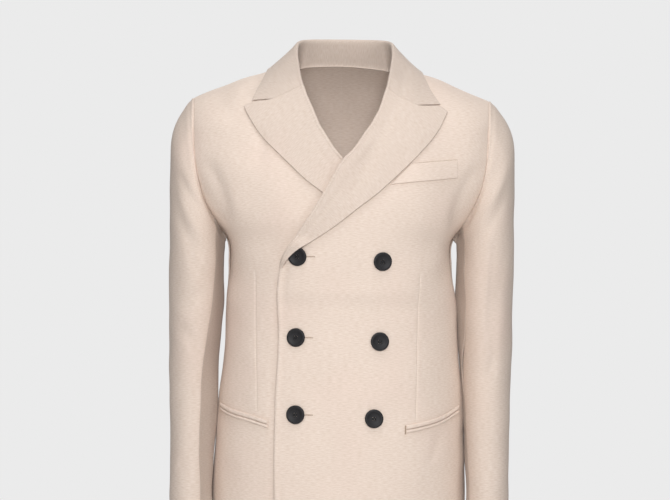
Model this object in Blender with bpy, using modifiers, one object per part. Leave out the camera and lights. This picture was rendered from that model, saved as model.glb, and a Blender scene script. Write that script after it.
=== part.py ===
"""Double-breasted blazer, in the form that it keeps when it is worn.

Units are metres and +Z is up. +X is the wearer's left and the front faces -Y. The origin
lies between the two shoulders, on the shoulder line, at the height of the neck points.
Each cloth piece is a wall laid on one smooth body form or on one sleeve form. A place on
the body form has two coordinates: turn, the angle round the body from its middle towards
+X, and over, the height below the shoulder line, negative in front and positive behind.
"""
import math
from typing import NamedTuple

import bmesh
import bpy
import numpy as np
from mathutils import Matrix, Vector

MODEL = "double_breasted_blazer"

# Walls and gaps
FRONT_WALL = 0.0024
BACK_WALL = 0.0021
SLEEVE_WALL = 0.0020
TURNED_WALL = 0.0018
STRIP_WALL = 0.0012
WELT_WALL = 0.0016
SEAM_GAP = 0.0003
LAY_GAP = 0.0015
STRIP_GAP = 0.0006
NECK_GAP = 0.0008
LAPEL_GAP = 0.0006
HALF_GAP = SEAM_GAP / 2
SHARP_ANGLE = math.radians(40)
TINY = 0.001

# Body form
HEM_OVER = 0.745
YOKE_OVER = 0.100
ARMHOLE_OVER = 0.262
BODY_ROUND = 2.3
BODY_ASPECT = 0.62
NECK_CENTRE_X = 0.0045
FRONT_YOKE = (1.0, 0.90, 0.42, 0.0)
BACK_YOKE = (1.0, 0.97, 0.62, 0.0)
YOKE_RISE = (0.0, 0.45, 1.0, 1.0)
SIDE_TURN = math.pi / 2
UNDER_ARM_ANGLE = 20
FOLD_RUN_OUT = 0.15
FOLD_TAPER = 0.4

# The overlap of the two fronts
OVER_EDGE_X = -0.0872
UNDER_EDGE_X = 0.0930
BREAK_Z = -0.303
STRAIGHT_EDGE_Z = -0.420
OVER_LIFT = FRONT_WALL + LAY_GAP
LAPEL_LIFT = TURNED_WALL + LAY_GAP + SEAM_GAP
LIFT_FULL_X = 0.100
LIFT_NONE_X = 0.172
LIFT_TOP_Z = -0.070
LIFT_FADE = 0.055
LAPEL_ZONE_TOP_Z = -0.102
LAPEL_ZONE_LOW_Z = -0.362
LAPEL_ZONE_FADE = 0.028

# Turned pieces: the lapels and the collar
ROLL_INSET = 0.0026
CREST_RADIUS = 0.0018
CREST_RISE = 0.0022
CREST_DROP = 0.6
GORGE_GAP = 0.0006
FLAT_ROLL_POWER = 3.0
STAND_ROLL_POWER = 1.1
STAND_FADE = 0.008
LEAF_SHARES = (0.12, 0.26, 0.40, 0.55, 0.70, 0.85, 1.0)
CORNER_SHARE = 0.55
LEAF_SHIFT_POWER = 1.5
LAPEL_STAND = 0.004
ROW_CLEARANCE = 0.010
LAPEL_BEND_ROWS = 6
ROLL_FLAT_START = 0.8
ROLL_FLAT_END = 1.1
UNDER_ROLL_FLAT_Z = -0.150
UNDER_ROLL_FADE = 0.030
COLLAR_BEND_SHARE = 0.12
COLLAR_CLEARANCE = 0.006
COLLAR_SAMPLES = 801
LAPEL_CORNER_SHARE = 0.85

# Buttons
BUTTON_SEAT = 0.0002
BUTTON_STEPS = 16
HOLE_RADIUS = 0.0010
HOLE_SPACING = 0.0017
HOLE_SIDES = 6
HOLE_DEPTH = 0.02
MERGE_DISTANCE = 0.00005

# Mesh counts
BELOW_ARMHOLE_ROWS = 18
ARMHOLE_ANGLES = (0, 22, 44, 66, 88, 106, 122, 136, 148, 157, 165, 172.5, 180)
FRONT_COLUMNS = 11
NECK_COLUMNS = 6
BACK_COLUMNS = 5
HEAD_ROWS = 10
ARM_ROWS = 10
STATION_CLEARANCE = 3


class Level(NamedTuple):
    """A level section of the body form."""

    z: float
    centre_x: float
    half_width: float
    front: float
    back: float


class Ridge(NamedTuple):
    """A point of the shoulder line, by its distance from the middle."""

    x: float
    z: float


class Armhole(NamedTuple):
    """A point of the armhole seam: 0 degrees is under the arm, 180 on the shoulder."""

    angle: float
    over: float
    front_x: float
    back_x: float


class SleeveLevel(NamedTuple):
    """A level section of the sleeve on the -X side, with both sleeves' forearm seam angles."""

    z: float
    centre_x: float
    centre_y: float
    half_width: float
    half_depth: float
    right_seam: float
    left_seam: float


class Outline(NamedTuple):
    """A point of a line on the front, seen from ahead."""

    z: float
    x: float


class Notch(NamedTuple):
    """Where the collar meets a lapel, seen from ahead."""

    roll: tuple
    corner: tuple
    collar_point: tuple
    lapel_corner: tuple
    peak: tuple


class Station(NamedTuple):
    """A section across half the collar, from the gorge (share 0) to the centre back."""

    share: float
    neck_x: float
    neck_over: float
    crest_x: float
    crest_y: float
    crest_z: float
    edge_x: float
    edge_over: float


class Fold(NamedTuple):
    """A soft ridge (height above zero) or trough on the body form, seen from ahead."""

    side: int
    x: float
    z: float
    to_x: float
    to_z: float
    width: float
    height: float


class SleeveFold(NamedTuple):
    """A soft ridge or trough round part of a sleeve, by angle in degrees and height."""

    angle: float
    z: float
    to_angle: float
    to_z: float
    width: float
    height: float


BODY_LEVELS = (
    Level(-0.745, 0.002, 0.1925, 0.137, 0.137),
    Level(-0.640, 0.002, 0.1890, 0.136, 0.132),
    Level(-0.560, 0.003, 0.1860, 0.134, 0.122),
    Level(-0.500, 0.004, 0.1825, 0.131, 0.110),
    Level(-0.440, 0.004, 0.1755, 0.129, 0.099),
    Level(-0.395, 0.004, 0.1725, 0.128, 0.096),
    Level(-0.350, 0.003, 0.1710, 0.129, 0.100),
    Level(-0.300, 0.001, 0.1675, 0.132, 0.110),
    Level(-0.262, 0.000, 0.1700, 0.134, 0.117),
    Level(-0.235, 0.000, 0.1920, 0.135, 0.121),
    Level(-0.205, 0.000, 0.2130, 0.134, 0.124),
    Level(-0.170, 0.000, 0.2290, 0.130, 0.125),
    Level(-0.135, 0.000, 0.2360, 0.122, 0.123),
    Level(-0.100, 0.000, 0.2355, 0.112, 0.118),
)

SHOULDER_LINE = (
    Ridge(-0.040, 0.0140),
    Ridge(0.000, 0.0190),
    Ridge(0.040, 0.0140),
    Ridge(0.078, -0.0008),
    Ridge(0.114, -0.0119),
    Ridge(0.145, -0.0212),
    Ridge(0.172, -0.0322),
    Ridge(0.195, -0.0416),
    Ridge(0.2205, -0.0518),
    Ridge(0.2355, -0.0590),
)

ARMHOLE_SEAM = (
    Armhole(0, 0.262, 0.1700, 0.1700),
    Armhole(20, 0.253, 0.1765, 0.1770),
    Armhole(40, 0.236, 0.1860, 0.1880),
    Armhole(60, 0.214, 0.1965, 0.2000),
    Armhole(80, 0.185, 0.2065, 0.2095),
    Armhole(100, 0.152, 0.2130, 0.2150),
    Armhole(120, 0.117, 0.2165, 0.2175),
    Armhole(140, 0.080, 0.2180, 0.2185),
    Armhole(160, 0.041, 0.2193, 0.2195),
    Armhole(180, 0.000, 0.2205, 0.2205),
)

SLEEVE_LEVELS = (
    SleeveLevel(-0.662, 0.2135, -0.056, 0.0308, 0.0500, 57, 24),
    SleeveLevel(-0.633, 0.2151, -0.050, 0.0310, 0.0505, 57, 24),
    SleeveLevel(-0.570, 0.2146, -0.038, 0.0329, 0.0525, 66, 23),
    SleeveLevel(-0.505, 0.2141, -0.025, 0.0354, 0.0550, 67, 22),
    SleeveLevel(-0.455, 0.2148, -0.016, 0.0366, 0.0580, 64, 16),
    SleeveLevel(-0.400, 0.2140, -0.010, 0.0385, 0.0610, 55, 30),
    SleeveLevel(-0.354, 0.2126, -0.005, 0.0406, 0.0640, 48, 38),
    SleeveLevel(-0.300, 0.2134, -0.002, 0.0412, 0.0680, 42, 32),
)
SLEEVE_TOP_Z = SLEEVE_LEVELS[-1].z
HINDARM_ANGLE = 262
SEAM_RADIUS = 0.022
ARMHOLE_GAP = 0.0005
LEFT_SLEEVE_SHIFT = 0.0055
HEAD_REACH = 0.34
HEAD_POWER = 2.4
ROW_CROWDING = 1.35
HEAD_FADE = 0.3
ARMHOLE_CENTRE = (0.205, 0.0, -0.160)
ARM_RADIUS = 0.055
SLEEVE_FOLD_RUN_OUT = 0.2
SLEEVE_FOLD_TAPER = 0.5

OVER_ROLL = (
    Outline(-0.3030, -0.0838),
    Outline(-0.2880, -0.0790),
    Outline(-0.2676, -0.0668),
    Outline(-0.2487, -0.0555),
    Outline(-0.2264, -0.0412),
    Outline(-0.1950, -0.0230),
    Outline(-0.1500, 0.0035),
    Outline(-0.1364, 0.0171),
    Outline(-0.1049, 0.0372),
    Outline(-0.0744, 0.0542),
    Outline(-0.0433, 0.0645),
)

UNDER_ROLL = (
    Outline(-0.3030, 0.0935),
    Outline(-0.2880, 0.0870),
    Outline(-0.2487, 0.0635),
    Outline(-0.1950, 0.0305),
    Outline(-0.1472, 0.0036),
    Outline(-0.1352, -0.0072),
    Outline(-0.1077, -0.0249),
    Outline(-0.0802, -0.0387),
    Outline(-0.0560, -0.0494),
    Outline(-0.0400, -0.0552),
)

OVER_LAPEL_EDGE = (
    Outline(-0.3080, -0.0776),
    Outline(-0.3000, -0.0770),
    Outline(-0.2940, -0.0746),
    Outline(-0.2886, -0.0705),
    Outline(-0.2776, -0.0587),
    Outline(-0.2624, -0.0362),
    Outline(-0.2387, -0.0020),
    Outline(-0.2172, 0.0249),
    Outline(-0.1965, 0.0517),
    Outline(-0.1843, 0.0653),
    Outline(-0.1466, 0.1041),
    Outline(-0.1329, 0.1165),
    Outline(-0.1174, 0.1298),
    Outline(-0.0974, 0.1432),
    Outline(-0.0752, 0.1539),
)

UNDER_LAPEL_EDGE = (
    Outline(-0.3080, 0.0850),
    Outline(-0.3004, 0.0830),
    Outline(-0.2893, 0.0770),
    Outline(-0.2674, 0.0530),
    Outline(-0.2340, 0.0150),
    Outline(-0.1949, -0.0261),
    Outline(-0.1776, -0.0492),
    Outline(-0.1550, -0.0734),
    Outline(-0.1317, -0.0977),
    Outline(-0.1197, -0.1096),
    Outline(-0.1065, -0.1203),
    Outline(-0.0936, -0.1287),
    Outline(-0.0807, -0.1365),
    Outline(-0.0705, -0.1416),
)

LEFT_NOTCH = Notch(
    roll=(0.0645, -0.0433),
    corner=(0.1087, -0.0665),
    collar_point=(0.1438, -0.0645),
    lapel_corner=(0.1434, -0.0672),
    peak=(0.1539, -0.0752),
)
RIGHT_NOTCH = Notch(
    roll=(-0.0552, -0.0400),
    corner=(-0.0999, -0.0595),
    collar_point=(-0.1299, -0.0621),
    lapel_corner=(-0.1297, -0.0648),
    peak=(-0.1416, -0.0705),
)

COLLAR_SECTIONS = (
    Station(0.12, 0.0680, -0.051, 0.0665, -0.0720, -0.0215, 0.1273, -0.051),
    Station(0.25, 0.0730, -0.040, 0.0700, -0.0470, -0.0010, 0.1208, -0.036),
    Station(0.37, 0.0765, -0.022, 0.0720, -0.0230, 0.0160, 0.1163, -0.022),
    Station(0.48, 0.0780, 0.000, 0.0715, 0.0020, 0.0300, 0.1130, 0.000),
    Station(0.60, 0.0735, 0.015, 0.0670, 0.0220, 0.0370, 0.1058, 0.017),
    Station(0.73, 0.0590, 0.023, 0.0530, 0.0370, 0.0405, 0.0830, 0.031),
    Station(0.87, 0.0330, 0.029, 0.0300, 0.0470, 0.0420, 0.0440, 0.037),
    Station(1.00, 0.0000, 0.031, 0.0000, 0.0505, 0.0425, 0.0000, 0.040),
)

SHOULDER_STATION = COLLAR_SECTIONS[3]

BODY_FOLDS = (
    Fold(-1, -0.186, -0.205, -0.150, -0.335, 0.016, -0.0035),
    Fold(-1, -0.160, -0.200, -0.136, -0.300, 0.018, 0.0025),
    Fold(-1, 0.184, -0.205, 0.150, -0.330, 0.016, -0.0035),
    Fold(-1, 0.160, -0.205, 0.138, -0.310, 0.018, 0.0022),
    Fold(-1, -0.185, -0.050, -0.150, -0.100, 0.016, -0.0022),
    Fold(1, -0.178, -0.200, -0.120, -0.320, 0.020, -0.0040),
    Fold(1, 0.178, -0.205, 0.118, -0.330, 0.021, -0.0040),
    Fold(1, -0.120, -0.330, -0.030, -0.400, 0.020, -0.0025),
    Fold(1, 0.125, -0.345, 0.035, -0.395, 0.018, -0.0025),
)

SLEEVE_FOLDS = (
    SleeveFold(112, -0.150, 158, -0.275, 0.016, -0.0030),
    SleeveFold(84, -0.200, 128, -0.330, 0.018, 0.0030),
    SleeveFold(62, -0.330, 118, -0.395, 0.014, -0.0035),
    SleeveFold(70, -0.420, 126, -0.375, 0.014, -0.0030),
    SleeveFold(235, -0.190, 205, -0.320, 0.018, -0.0035),
    SleeveFold(262, -0.360, 214, -0.420, 0.018, 0.0030),
    SleeveFold(70, -0.560, 120, -0.600, 0.016, -0.0020),
)

WELT_CORNERS = (
    ((0.0999, -0.1538), (0.1685, -0.1444)),
    ((0.0700, -0.1834), (0.1688, -0.1708)),
)

LEFT_POCKET = (
    Outline(-0.5342, 0.0967),
    Outline(-0.5305, 0.1174),
    Outline(-0.5218, 0.1510),
    Outline(-0.5096, 0.1766),
)
RIGHT_POCKET = (
    Outline(-0.5294, -0.1004),
    Outline(-0.5221, -0.1285),
    Outline(-0.5160, -0.1563),
    Outline(-0.5098, -0.1731),
)
JET_NEAR = 0.0005
UPPER_JET_FAR = 0.0066
LOWER_JET_FAR = 0.0047
JET_SEGMENTS = 8
WELT_SEGMENTS = 8
WELT_ROWS = 2

BUTTON_PLACES = (
    (-0.0586, -0.2865),
    (-0.0607, -0.4031),
    (-0.0600, -0.5136),
    (0.0595, -0.2924),
    (0.0578, -0.4075),
    (0.0509, -0.5179),
)
COVERED_BUTTON = BUTTON_PLACES[0]
BUTTON_COVER_RISE = 0.0055
BUTTON_COVER_NEAR = 0.0180
BUTTON_COVER_FAR = 0.0480

BUTTON_PROFILE = (
    (0.0000, 0.0022),
    (0.0078, 0.0024),
    (0.0100, 0.0033),
    (0.0122, 0.0034),
    (0.0134, 0.0025),
    (0.0131, 0.0010),
    (0.0112, 0.0000),
    (0.0000, 0.0000),
)

CLOTH_COLOUR = (0.807, 0.679, 0.565, 1.0)
BUTTON_COLOUR = (0.016, 0.016, 0.018, 1.0)
CLOTH_ROUGHNESS = 0.9
BUTTON_ROUGHNESS = 0.45


def smooth(rows, column, at):
    """Read a column of a table at places of its first column, as a smooth curve."""
    order = sorted(rows, key=lambda row: row[0])
    keys = np.array([row[0] for row in order], dtype=float)
    values = np.array([getattr(row, column) for row in order], dtype=float)
    return smooth_values(keys, values, at)


def smooth_values(keys, values, at):
    """Read a smooth curve through points whose keys rise."""
    steps = np.diff(values) / np.diff(keys)
    turning = steps[1:] * steps[:-1] > 0
    inner = np.where(turning, (steps[1:] + steps[:-1]) / 2, 0.0)
    slopes = np.concatenate(([steps[0]], inner, [steps[-1]]))
    place = np.clip(at, keys[0], keys[-1])
    spot = np.clip(np.searchsorted(keys, place) - 1, 0, len(keys) - 2)
    width = keys[spot + 1] - keys[spot]
    share = (place - keys[spot]) / width
    square, cube = share ** 2, share ** 3
    start = (2 * cube - 3 * square + 1) * values[spot]
    start = start + (cube - 2 * square + share) * width * slopes[spot]
    end = (3 * square - 2 * cube) * values[spot + 1]
    return start + end + (cube - square) * width * slopes[spot + 1]


def ease(share):
    """Rise smoothly from 0 to 1."""
    share = np.clip(share, 0.0, 1.0)
    return share * share * (3 - 2 * share)


def bezier(controls, share):
    """Read a cubic Bezier of four numbers."""
    rest = 1 - share
    first, second, third, fourth = controls
    outer = rest ** 3 * first + share ** 3 * fourth
    return outer + 3 * share * rest ** 2 * second + 3 * share ** 2 * rest * third


def unit(vectors):
    """Scale vectors to length one."""
    return vectors / np.linalg.norm(vectors, axis=-1, keepdims=True)


def body_section(over):
    """Centre, half width and depth of the body form at a place below the shoulder line."""
    level = np.minimum(-np.abs(over), -YOKE_OVER)
    centre = smooth(BODY_LEVELS, "centre_x", level)
    width = smooth(BODY_LEVELS, "half_width", level)
    front = smooth(BODY_LEVELS, "front", level)
    back = smooth(BODY_LEVELS, "back", level)
    return level, centre, width, np.where(over > 0, back, front)


def yoke_share(over):
    """Share of the way from the yoke level (0) up to the shoulder line (1)."""
    return np.clip((YOKE_OVER - np.abs(over)) / YOKE_OVER, 0.0, 1.0)


def body_form(turn, over):
    """Points of the body form."""
    turn, over = np.broadcast_arrays(np.asarray(turn, float), np.asarray(over, float))
    level, centre, width, depth = body_section(over)
    side, face = np.sin(turn), np.cos(turn) / BODY_ASPECT
    power = BODY_ROUND
    radius = (np.abs(side) ** power + np.abs(face) ** power) ** (-1 / power)
    rise = yoke_share(over)
    x = centre + width * radius * side
    closing = np.where(over > 0, bezier(BACK_YOKE, rise), bezier(FRONT_YOKE, rise))
    y = np.where(over > 0, 1.0, -1.0) * depth * radius * face * closing
    ridge = smooth(SHOULDER_LINE, "z", np.abs(x))
    z = level + (ridge - level) * bezier(YOKE_RISE, rise)
    return np.stack([x, y, z], axis=-1)


def body_normal(turn, over):
    """Outward directions of the body form."""
    step = 0.0002
    sideways = body_form(turn + step, over) - body_form(turn - step, over)
    upwards = body_form(turn, over + step) - body_form(turn, over - step)
    return unit(np.cross(sideways, upwards))


def turn_at(x, over):
    """Turn of the body form's point at x and over."""
    _, centre, width, _ = body_section(over)
    across = np.clip((x - centre) / width, -0.999999, 0.999999)
    face = (1 - np.abs(across) ** BODY_ROUND) ** (1 / BODY_ROUND)
    return np.arctan2(across, BODY_ASPECT * face)


def front_place(x, z):
    """Turn and over of the body form's front at x and z."""
    x, z = np.broadcast_arrays(np.asarray(x, float), np.asarray(z, float))
    low = np.full(z.shape, -YOKE_OVER)
    high = np.zeros(z.shape)
    for _ in range(30):
        middle = (low + high) / 2
        below = body_form(turn_at(x, middle), middle)[..., 2] < z
        low = np.where(below, middle, low)
        high = np.where(below, high, middle)
    over = np.where(z < -YOKE_OVER, z, (low + high) / 2)
    return turn_at(x, over), over


def fold_relief(folds, points, back):
    """Height of the folds at points of the body form."""
    relief = np.zeros(points.shape[:-1])
    for fold in folds:
        start = np.array([fold.x, fold.z])
        run = np.array([fold.to_x, fold.to_z]) - start
        length = np.linalg.norm(run)
        along = run / length
        offset = points[..., (0, 2)] - start
        place = offset @ along / length
        across = offset @ np.array([-along[1], along[0]])
        taper = ease((FOLD_RUN_OUT + np.minimum(place, 1 - place)) / FOLD_TAPER)
        here = np.where(back, fold.side > 0, fold.side < 0)
        relief = relief + here * fold.height * taper * np.exp(-((across / fold.width) ** 2))
    return relief


def overlap_lift(points):
    """How far the lapped front stands off the body form, over the other front."""
    x, z = points[..., 0], points[..., 2]
    sideways = ease((LIFT_NONE_X - x) / (LIFT_NONE_X - LIFT_FULL_X))
    below_cross = ease((LIFT_TOP_Z - z) / LIFT_FADE)
    lapel_zone = ease((LAPEL_ZONE_TOP_Z - z) / LAPEL_ZONE_FADE)
    lapel_zone = lapel_zone * ease((z - LAPEL_ZONE_LOW_Z) / LAPEL_ZONE_FADE)
    return sideways * (below_cross * OVER_LIFT + lapel_zone * LAPEL_LIFT)


def front_surface(turn, over, lapped, rise=0.0):
    """Points of a front's outer face, moved out by rise."""
    form = body_form(turn, over)
    height = rise + fold_relief(BODY_FOLDS, form, np.asarray(over) > 0)
    if lapped:
        height = height + overlap_lift(form)
    return form + body_normal(turn, over) * height[..., None]


def wall_mesh(name, outer, inner):
    """A closed wall between two matching grids of points, rows by columns."""
    rows, columns = outer.shape[:2]
    shape = bmesh.new()
    bmesh.ops.create_grid(shape, x_segments=columns - 1, y_segments=rows - 1, size=1)
    place = shape.verts.layers.int.new("place")
    for number, vertex in enumerate(shape.verts):
        vertex[place] = number
    outer_points = outer.reshape(-1, 3)
    inner_points = inner.reshape(-1, 3)
    copied = bmesh.ops.extrude_face_region(shape, geom=shape.faces[:])
    copies = {item for item in copied["geom"] if isinstance(item, bmesh.types.BMVert)}
    for vertex in shape.verts:
        source = inner_points if vertex in copies else outer_points
        vertex.co = Vector(source[vertex[place]])
    shape.verts.layers.int.remove(place)
    bmesh.ops.recalc_face_normals(shape, faces=shape.faces[:])
    mesh = bpy.data.meshes.new(name)
    shape.to_mesh(mesh)
    shape.free()
    mesh.shade_smooth()
    mesh.set_sharp_from_angle(angle=SHARP_ANGLE)
    return mesh


def thickened(middle, thickness):
    """Outer and inner grids on both sides of a middle grid."""
    down = np.gradient(middle, axis=0)
    along = np.gradient(middle, axis=1)
    normal = unit(np.cross(along, down))
    return middle + normal * thickness / 2, middle - normal * thickness / 2


def add_piece(name, mesh, material):
    """Put a mesh into the model as a named piece."""
    piece = bpy.data.objects.new(name, mesh)
    mesh.materials.clear()
    mesh.materials.append(material)
    bpy.data.collections[MODEL].objects.link(piece)
    return piece


def armhole_place(angle):
    """Turn and over of the +X armhole seam at an angle from under the arm, in degrees."""
    angle = np.asarray(angle, float)
    behind = angle > 180
    half = np.where(behind, 360 - angle, angle)
    over = smooth(ARMHOLE_SEAM, "over", half)
    front_x = smooth(ARMHOLE_SEAM, "front_x", half)
    back_x = smooth(ARMHOLE_SEAM, "back_x", half)
    over = np.where(behind, over, -over)
    _, centre, width, _ = body_section(over)
    x = np.where(behind, back_x, front_x)
    under_arm = np.minimum(half / UNDER_ARM_ANGLE, 1.0)
    x = under_arm * x + (1 - under_arm) * (width + centre)
    return turn_at(x, over), over


def panel_rows(back):
    """Over values of a panel's rows from hem to shoulder, and the outer edge's turns."""
    angles = np.array(ARMHOLE_ANGLES, float)
    if back:
        angles = 360 - angles
    edge_turn, edge_over = armhole_place(angles)
    sign = 1 if back else -1
    below = np.linspace(sign * HEM_OVER, edge_over[0], BELOW_ARMHOLE_ROWS + 1)[:-1]
    over = np.concatenate([below, edge_over])
    turn = np.concatenate([np.full(below.shape, SIDE_TURN), edge_turn])
    return over, turn


def front_inner_edge(left, over):
    """Turns of a front's inner edge: front edge, roll line, and neck seam."""
    roll = OVER_ROLL if left else UNDER_ROLL
    side = 1 if left else -1
    inset = [Outline(row.z, row.x + side * ROLL_INSET) for row in roll]
    hem_x = OVER_EDGE_X if left else UNDER_EDGE_X
    base = [Outline(-HEM_OVER, hem_x), Outline(STRAIGHT_EDGE_Z, hem_x)]
    rows = base + [row for row in inset if row.z > BREAK_Z - TINY]
    order = sorted(rows, key=lambda row: row.z)
    turn, place = front_place(
        np.array([row.x for row in order]), np.array([row.z for row in order])
    )
    neck_over = np.array([row.neck_over for row in COLLAR_SECTIONS if row.neck_over <= 0])
    neck_x = np.array([row.neck_x for row in COLLAR_SECTIONS if row.neck_over <= 0])
    neck_turn = turn_at(NECK_CENTRE_X + side * neck_x, neck_over)
    keys = np.concatenate([place, neck_over])
    values = np.concatenate([turn, neck_turn])
    return smooth_values(keys, values, over)


def sideways_gap(turn, over, gap):
    """Change of turn that moves a point of the body form sideways by a gap."""
    step = 0.001
    moved = body_form(turn + step, over) - body_form(turn - step, over)
    return gap * 2 * step / np.linalg.norm(moved, axis=-1)


def upright_gap(turn, over, gap):
    """Change of over that moves a point of the body form along it by a gap."""
    step = 0.001
    moved = body_form(turn, over + step) - body_form(turn, over - step)
    return gap * 2 * step / np.linalg.norm(moved, axis=-1)


def make_front(left, material):
    """One front, from the hem to the shoulder seam."""
    over, outer_turn = panel_rows(back=False)
    inner_turn = front_inner_edge(left, over)
    side = 1 if left else -1
    below = over < TINY - ARMHOLE_OVER
    outer_turn = outer_turn - np.where(below, sideways_gap(outer_turn, over, HALF_GAP), 0.0)
    share = np.linspace(0, 1, FRONT_COLUMNS + 1)[None, :]
    turn = inner_turn[:, None] * (1 - share) + side * outer_turn[:, None] * share
    place = np.repeat(over[:, None], FRONT_COLUMNS + 1, axis=1)
    place[-1] -= upright_gap(turn[-1], place[-1], HALF_GAP)
    outer = front_surface(turn, place, lapped=left)
    inner = front_surface(turn, place, lapped=left, rise=-FRONT_WALL)
    name = "front_left" if left else "front_right"
    return add_piece(name, wall_mesh(name, outer, inner), material)


def neck_top(x):
    """Over of the back's top edge: the neck seam, then the shoulder seam."""
    rows = [row for row in COLLAR_SECTIONS if row.neck_over >= 0]
    keys = np.array([row.neck_x for row in rows])[::-1]
    values = np.array([row.neck_over for row in rows])[::-1]
    reach = np.abs(x - NECK_CENTRE_X)
    return np.where(reach < keys[-1], smooth_values(keys, values, reach), 0.0)


def make_back(left, material):
    """One half of the back, from the hem to the neck and shoulder seams."""
    over, outer_turn = panel_rows(back=True)
    side = 1 if left else -1
    below = over > ARMHOLE_OVER - TINY
    outer_turn = outer_turn - np.where(below, sideways_gap(outer_turn, over, HALF_GAP), 0.0)
    inner_turn = sideways_gap(np.zeros(over.shape), over, HALF_GAP)
    neck_turn = turn_at(NECK_CENTRE_X * side + SHOULDER_STATION.neck_x, 0.0)
    neck_end = float(neck_turn / outer_turn[-1])
    neck_shares = np.linspace(0, neck_end, NECK_COLUMNS + 1)
    other_shares = np.linspace(neck_end, 1, BACK_COLUMNS + 1)[1:]
    share = np.concatenate([neck_shares, other_shares])[None, :]
    turn = side * (inner_turn[:, None] * (1 - share) + outer_turn[:, None] * share)
    top_x = body_form(turn[-1], np.zeros(turn.shape[1]))[..., 0]
    top = neck_top(top_x) + upright_gap(turn[-1], np.zeros(top_x.shape), HALF_GAP)
    fade = np.clip(1 - over / YOKE_OVER, 0.0, 1.0)
    place = over[:, None] + top[None, :] * fade[:, None]
    outer = front_surface(turn, place, lapped=False)
    inner = front_surface(turn, place, lapped=False, rise=-BACK_WALL)
    name = "back_left" if left else "back_right"
    return add_piece(name, wall_mesh(name, outer, inner), material)


def sleeve_level(height, column):
    """A column of the sleeve's levels."""
    return smooth(SLEEVE_LEVELS, column, height)


def sleeve_ring(angle, height):
    """Points of the -X sleeve's level sections; 0 degrees faces the body, 90 the front."""
    turn = np.radians(angle)
    x = sleeve_level(height, "centre_x") - sleeve_level(height, "half_width") * np.cos(turn)
    y = sleeve_level(height, "centre_y") - sleeve_level(height, "half_depth") * np.sin(turn)
    return np.stack([x, y, np.broadcast_to(height, x.shape)], axis=-1)


def sleeve_form(angle, down, left):
    """Points of a sleeve; down runs from 0 at the armhole through 1 to 2 at the cuff.

    The form is worked out on the +X side, and mirrored for the other sleeve.
    """
    angle, down = np.broadcast_arrays(np.asarray(angle, float), np.asarray(down, float))
    turn, over = armhole_place(np.mod(angle, 360))
    top = body_form(turn, over)
    head = np.clip(down, 0.0, 1.0)
    lower = np.clip(down - 1.0, 0.0, 1.0)
    height = SLEEVE_TOP_Z + (SLEEVE_LEVELS[0].z - SLEEVE_TOP_Z) * lower
    ring = sleeve_ring(angle, height)
    if left:
        ring = ring + np.array([LEFT_SLEEVE_SHIFT, 0.0, 0.0])
    outwards = 1 - (1 - np.clip(head / HEAD_REACH, 0.0, 1.0)) ** HEAD_POWER
    level = top + (ring - top) * outwards[..., None]
    sink = top[..., 2] + (ring[..., 2] - top[..., 2]) * head
    return np.stack([level[..., 0], level[..., 1], sink], axis=-1)


def sleeve_relief(angle, points):
    """Height of the folds at points of a sleeve."""
    relief = np.zeros(points.shape[:-1])
    for fold in SLEEVE_FOLDS:
        start = np.array([np.radians(fold.angle) * ARM_RADIUS, fold.z])
        run = np.array([np.radians(fold.to_angle) * ARM_RADIUS, fold.to_z]) - start
        length = np.linalg.norm(run)
        along = run / length
        offset = np.stack([np.radians(angle) * ARM_RADIUS, points[..., 2]], axis=-1) - start
        place = offset @ along / length
        across = offset @ np.array([-along[1], along[0]])
        reach = SLEEVE_FOLD_RUN_OUT + np.minimum(place, 1 - place)
        taper = ease(reach / SLEEVE_FOLD_TAPER)
        relief = relief + fold.height * taper * np.exp(-((across / fold.width) ** 2))
    return relief


def sleeve_normal(angle, down, left):
    """Outward directions of a sleeve on the +X side."""
    turn = 0.2
    around = sleeve_form(angle + turn, down, left) - sleeve_form(angle - turn, down, left)
    step = 0.01
    low = np.maximum(down - step, 0.0)
    along = sleeve_form(angle, low + 2 * step, left) - sleeve_form(angle, low, left)
    return unit(np.cross(along, around))


def armhole_frame(angle):
    """Seam point, outward direction of the body, and direction into the armhole."""
    turn, over = armhole_place(np.mod(angle, 360))
    point = body_form(turn, over)
    normal = body_normal(np.minimum(turn, SIDE_TURN - TINY * 10), over)
    ahead = body_form(*armhole_place(np.mod(angle + 1, 360)))
    behind = body_form(*armhole_place(np.mod(angle - 1, 360)))
    across = unit(np.cross(ahead - behind, normal))
    inwards = np.sum(across * (np.array(ARMHOLE_CENTRE) - point), axis=-1, keepdims=True)
    return point, normal, across * np.where(inwards < 0, -1.0, 1.0)


def sleeve_walls(angles, left):
    """Outer and inner grids of a stretch of a sleeve, on the +X side."""
    head = np.linspace(0, 1, HEAD_ROWS + 1) ** ROW_CROWDING
    lower = 1 + np.linspace(0, 1, ARM_ROWS + 1)[1:]
    down = np.concatenate([head, lower])[:, None] * np.ones((1, angles.shape[1]))
    angle = angles if angles.shape[0] > 1 else np.repeat(angles, down.shape[0], axis=0)
    form = sleeve_form(angle, down, left)
    normal = sleeve_normal(angle, down, left)
    fade = ease(down / HEAD_FADE)
    outer = form + normal * (sleeve_relief(angle, form) * fade)[..., None]
    inner = outer - normal * SLEEVE_WALL
    seam, body_out, into = armhole_frame(angle[0])
    inwards = -normal[0]
    towards_body = np.minimum(np.sum(inwards * into, axis=-1, keepdims=True), 0.0)
    wall = unit(inwards - towards_body * into)
    facing = np.clip(np.sum(inwards * body_out, axis=-1, keepdims=True), 0.0, 1.0)
    outer[0] = seam + into * ARMHOLE_GAP + body_out * facing * ARMHOLE_GAP
    inner[0] = outer[0] + wall * SLEEVE_WALL
    return outer, inner


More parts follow.
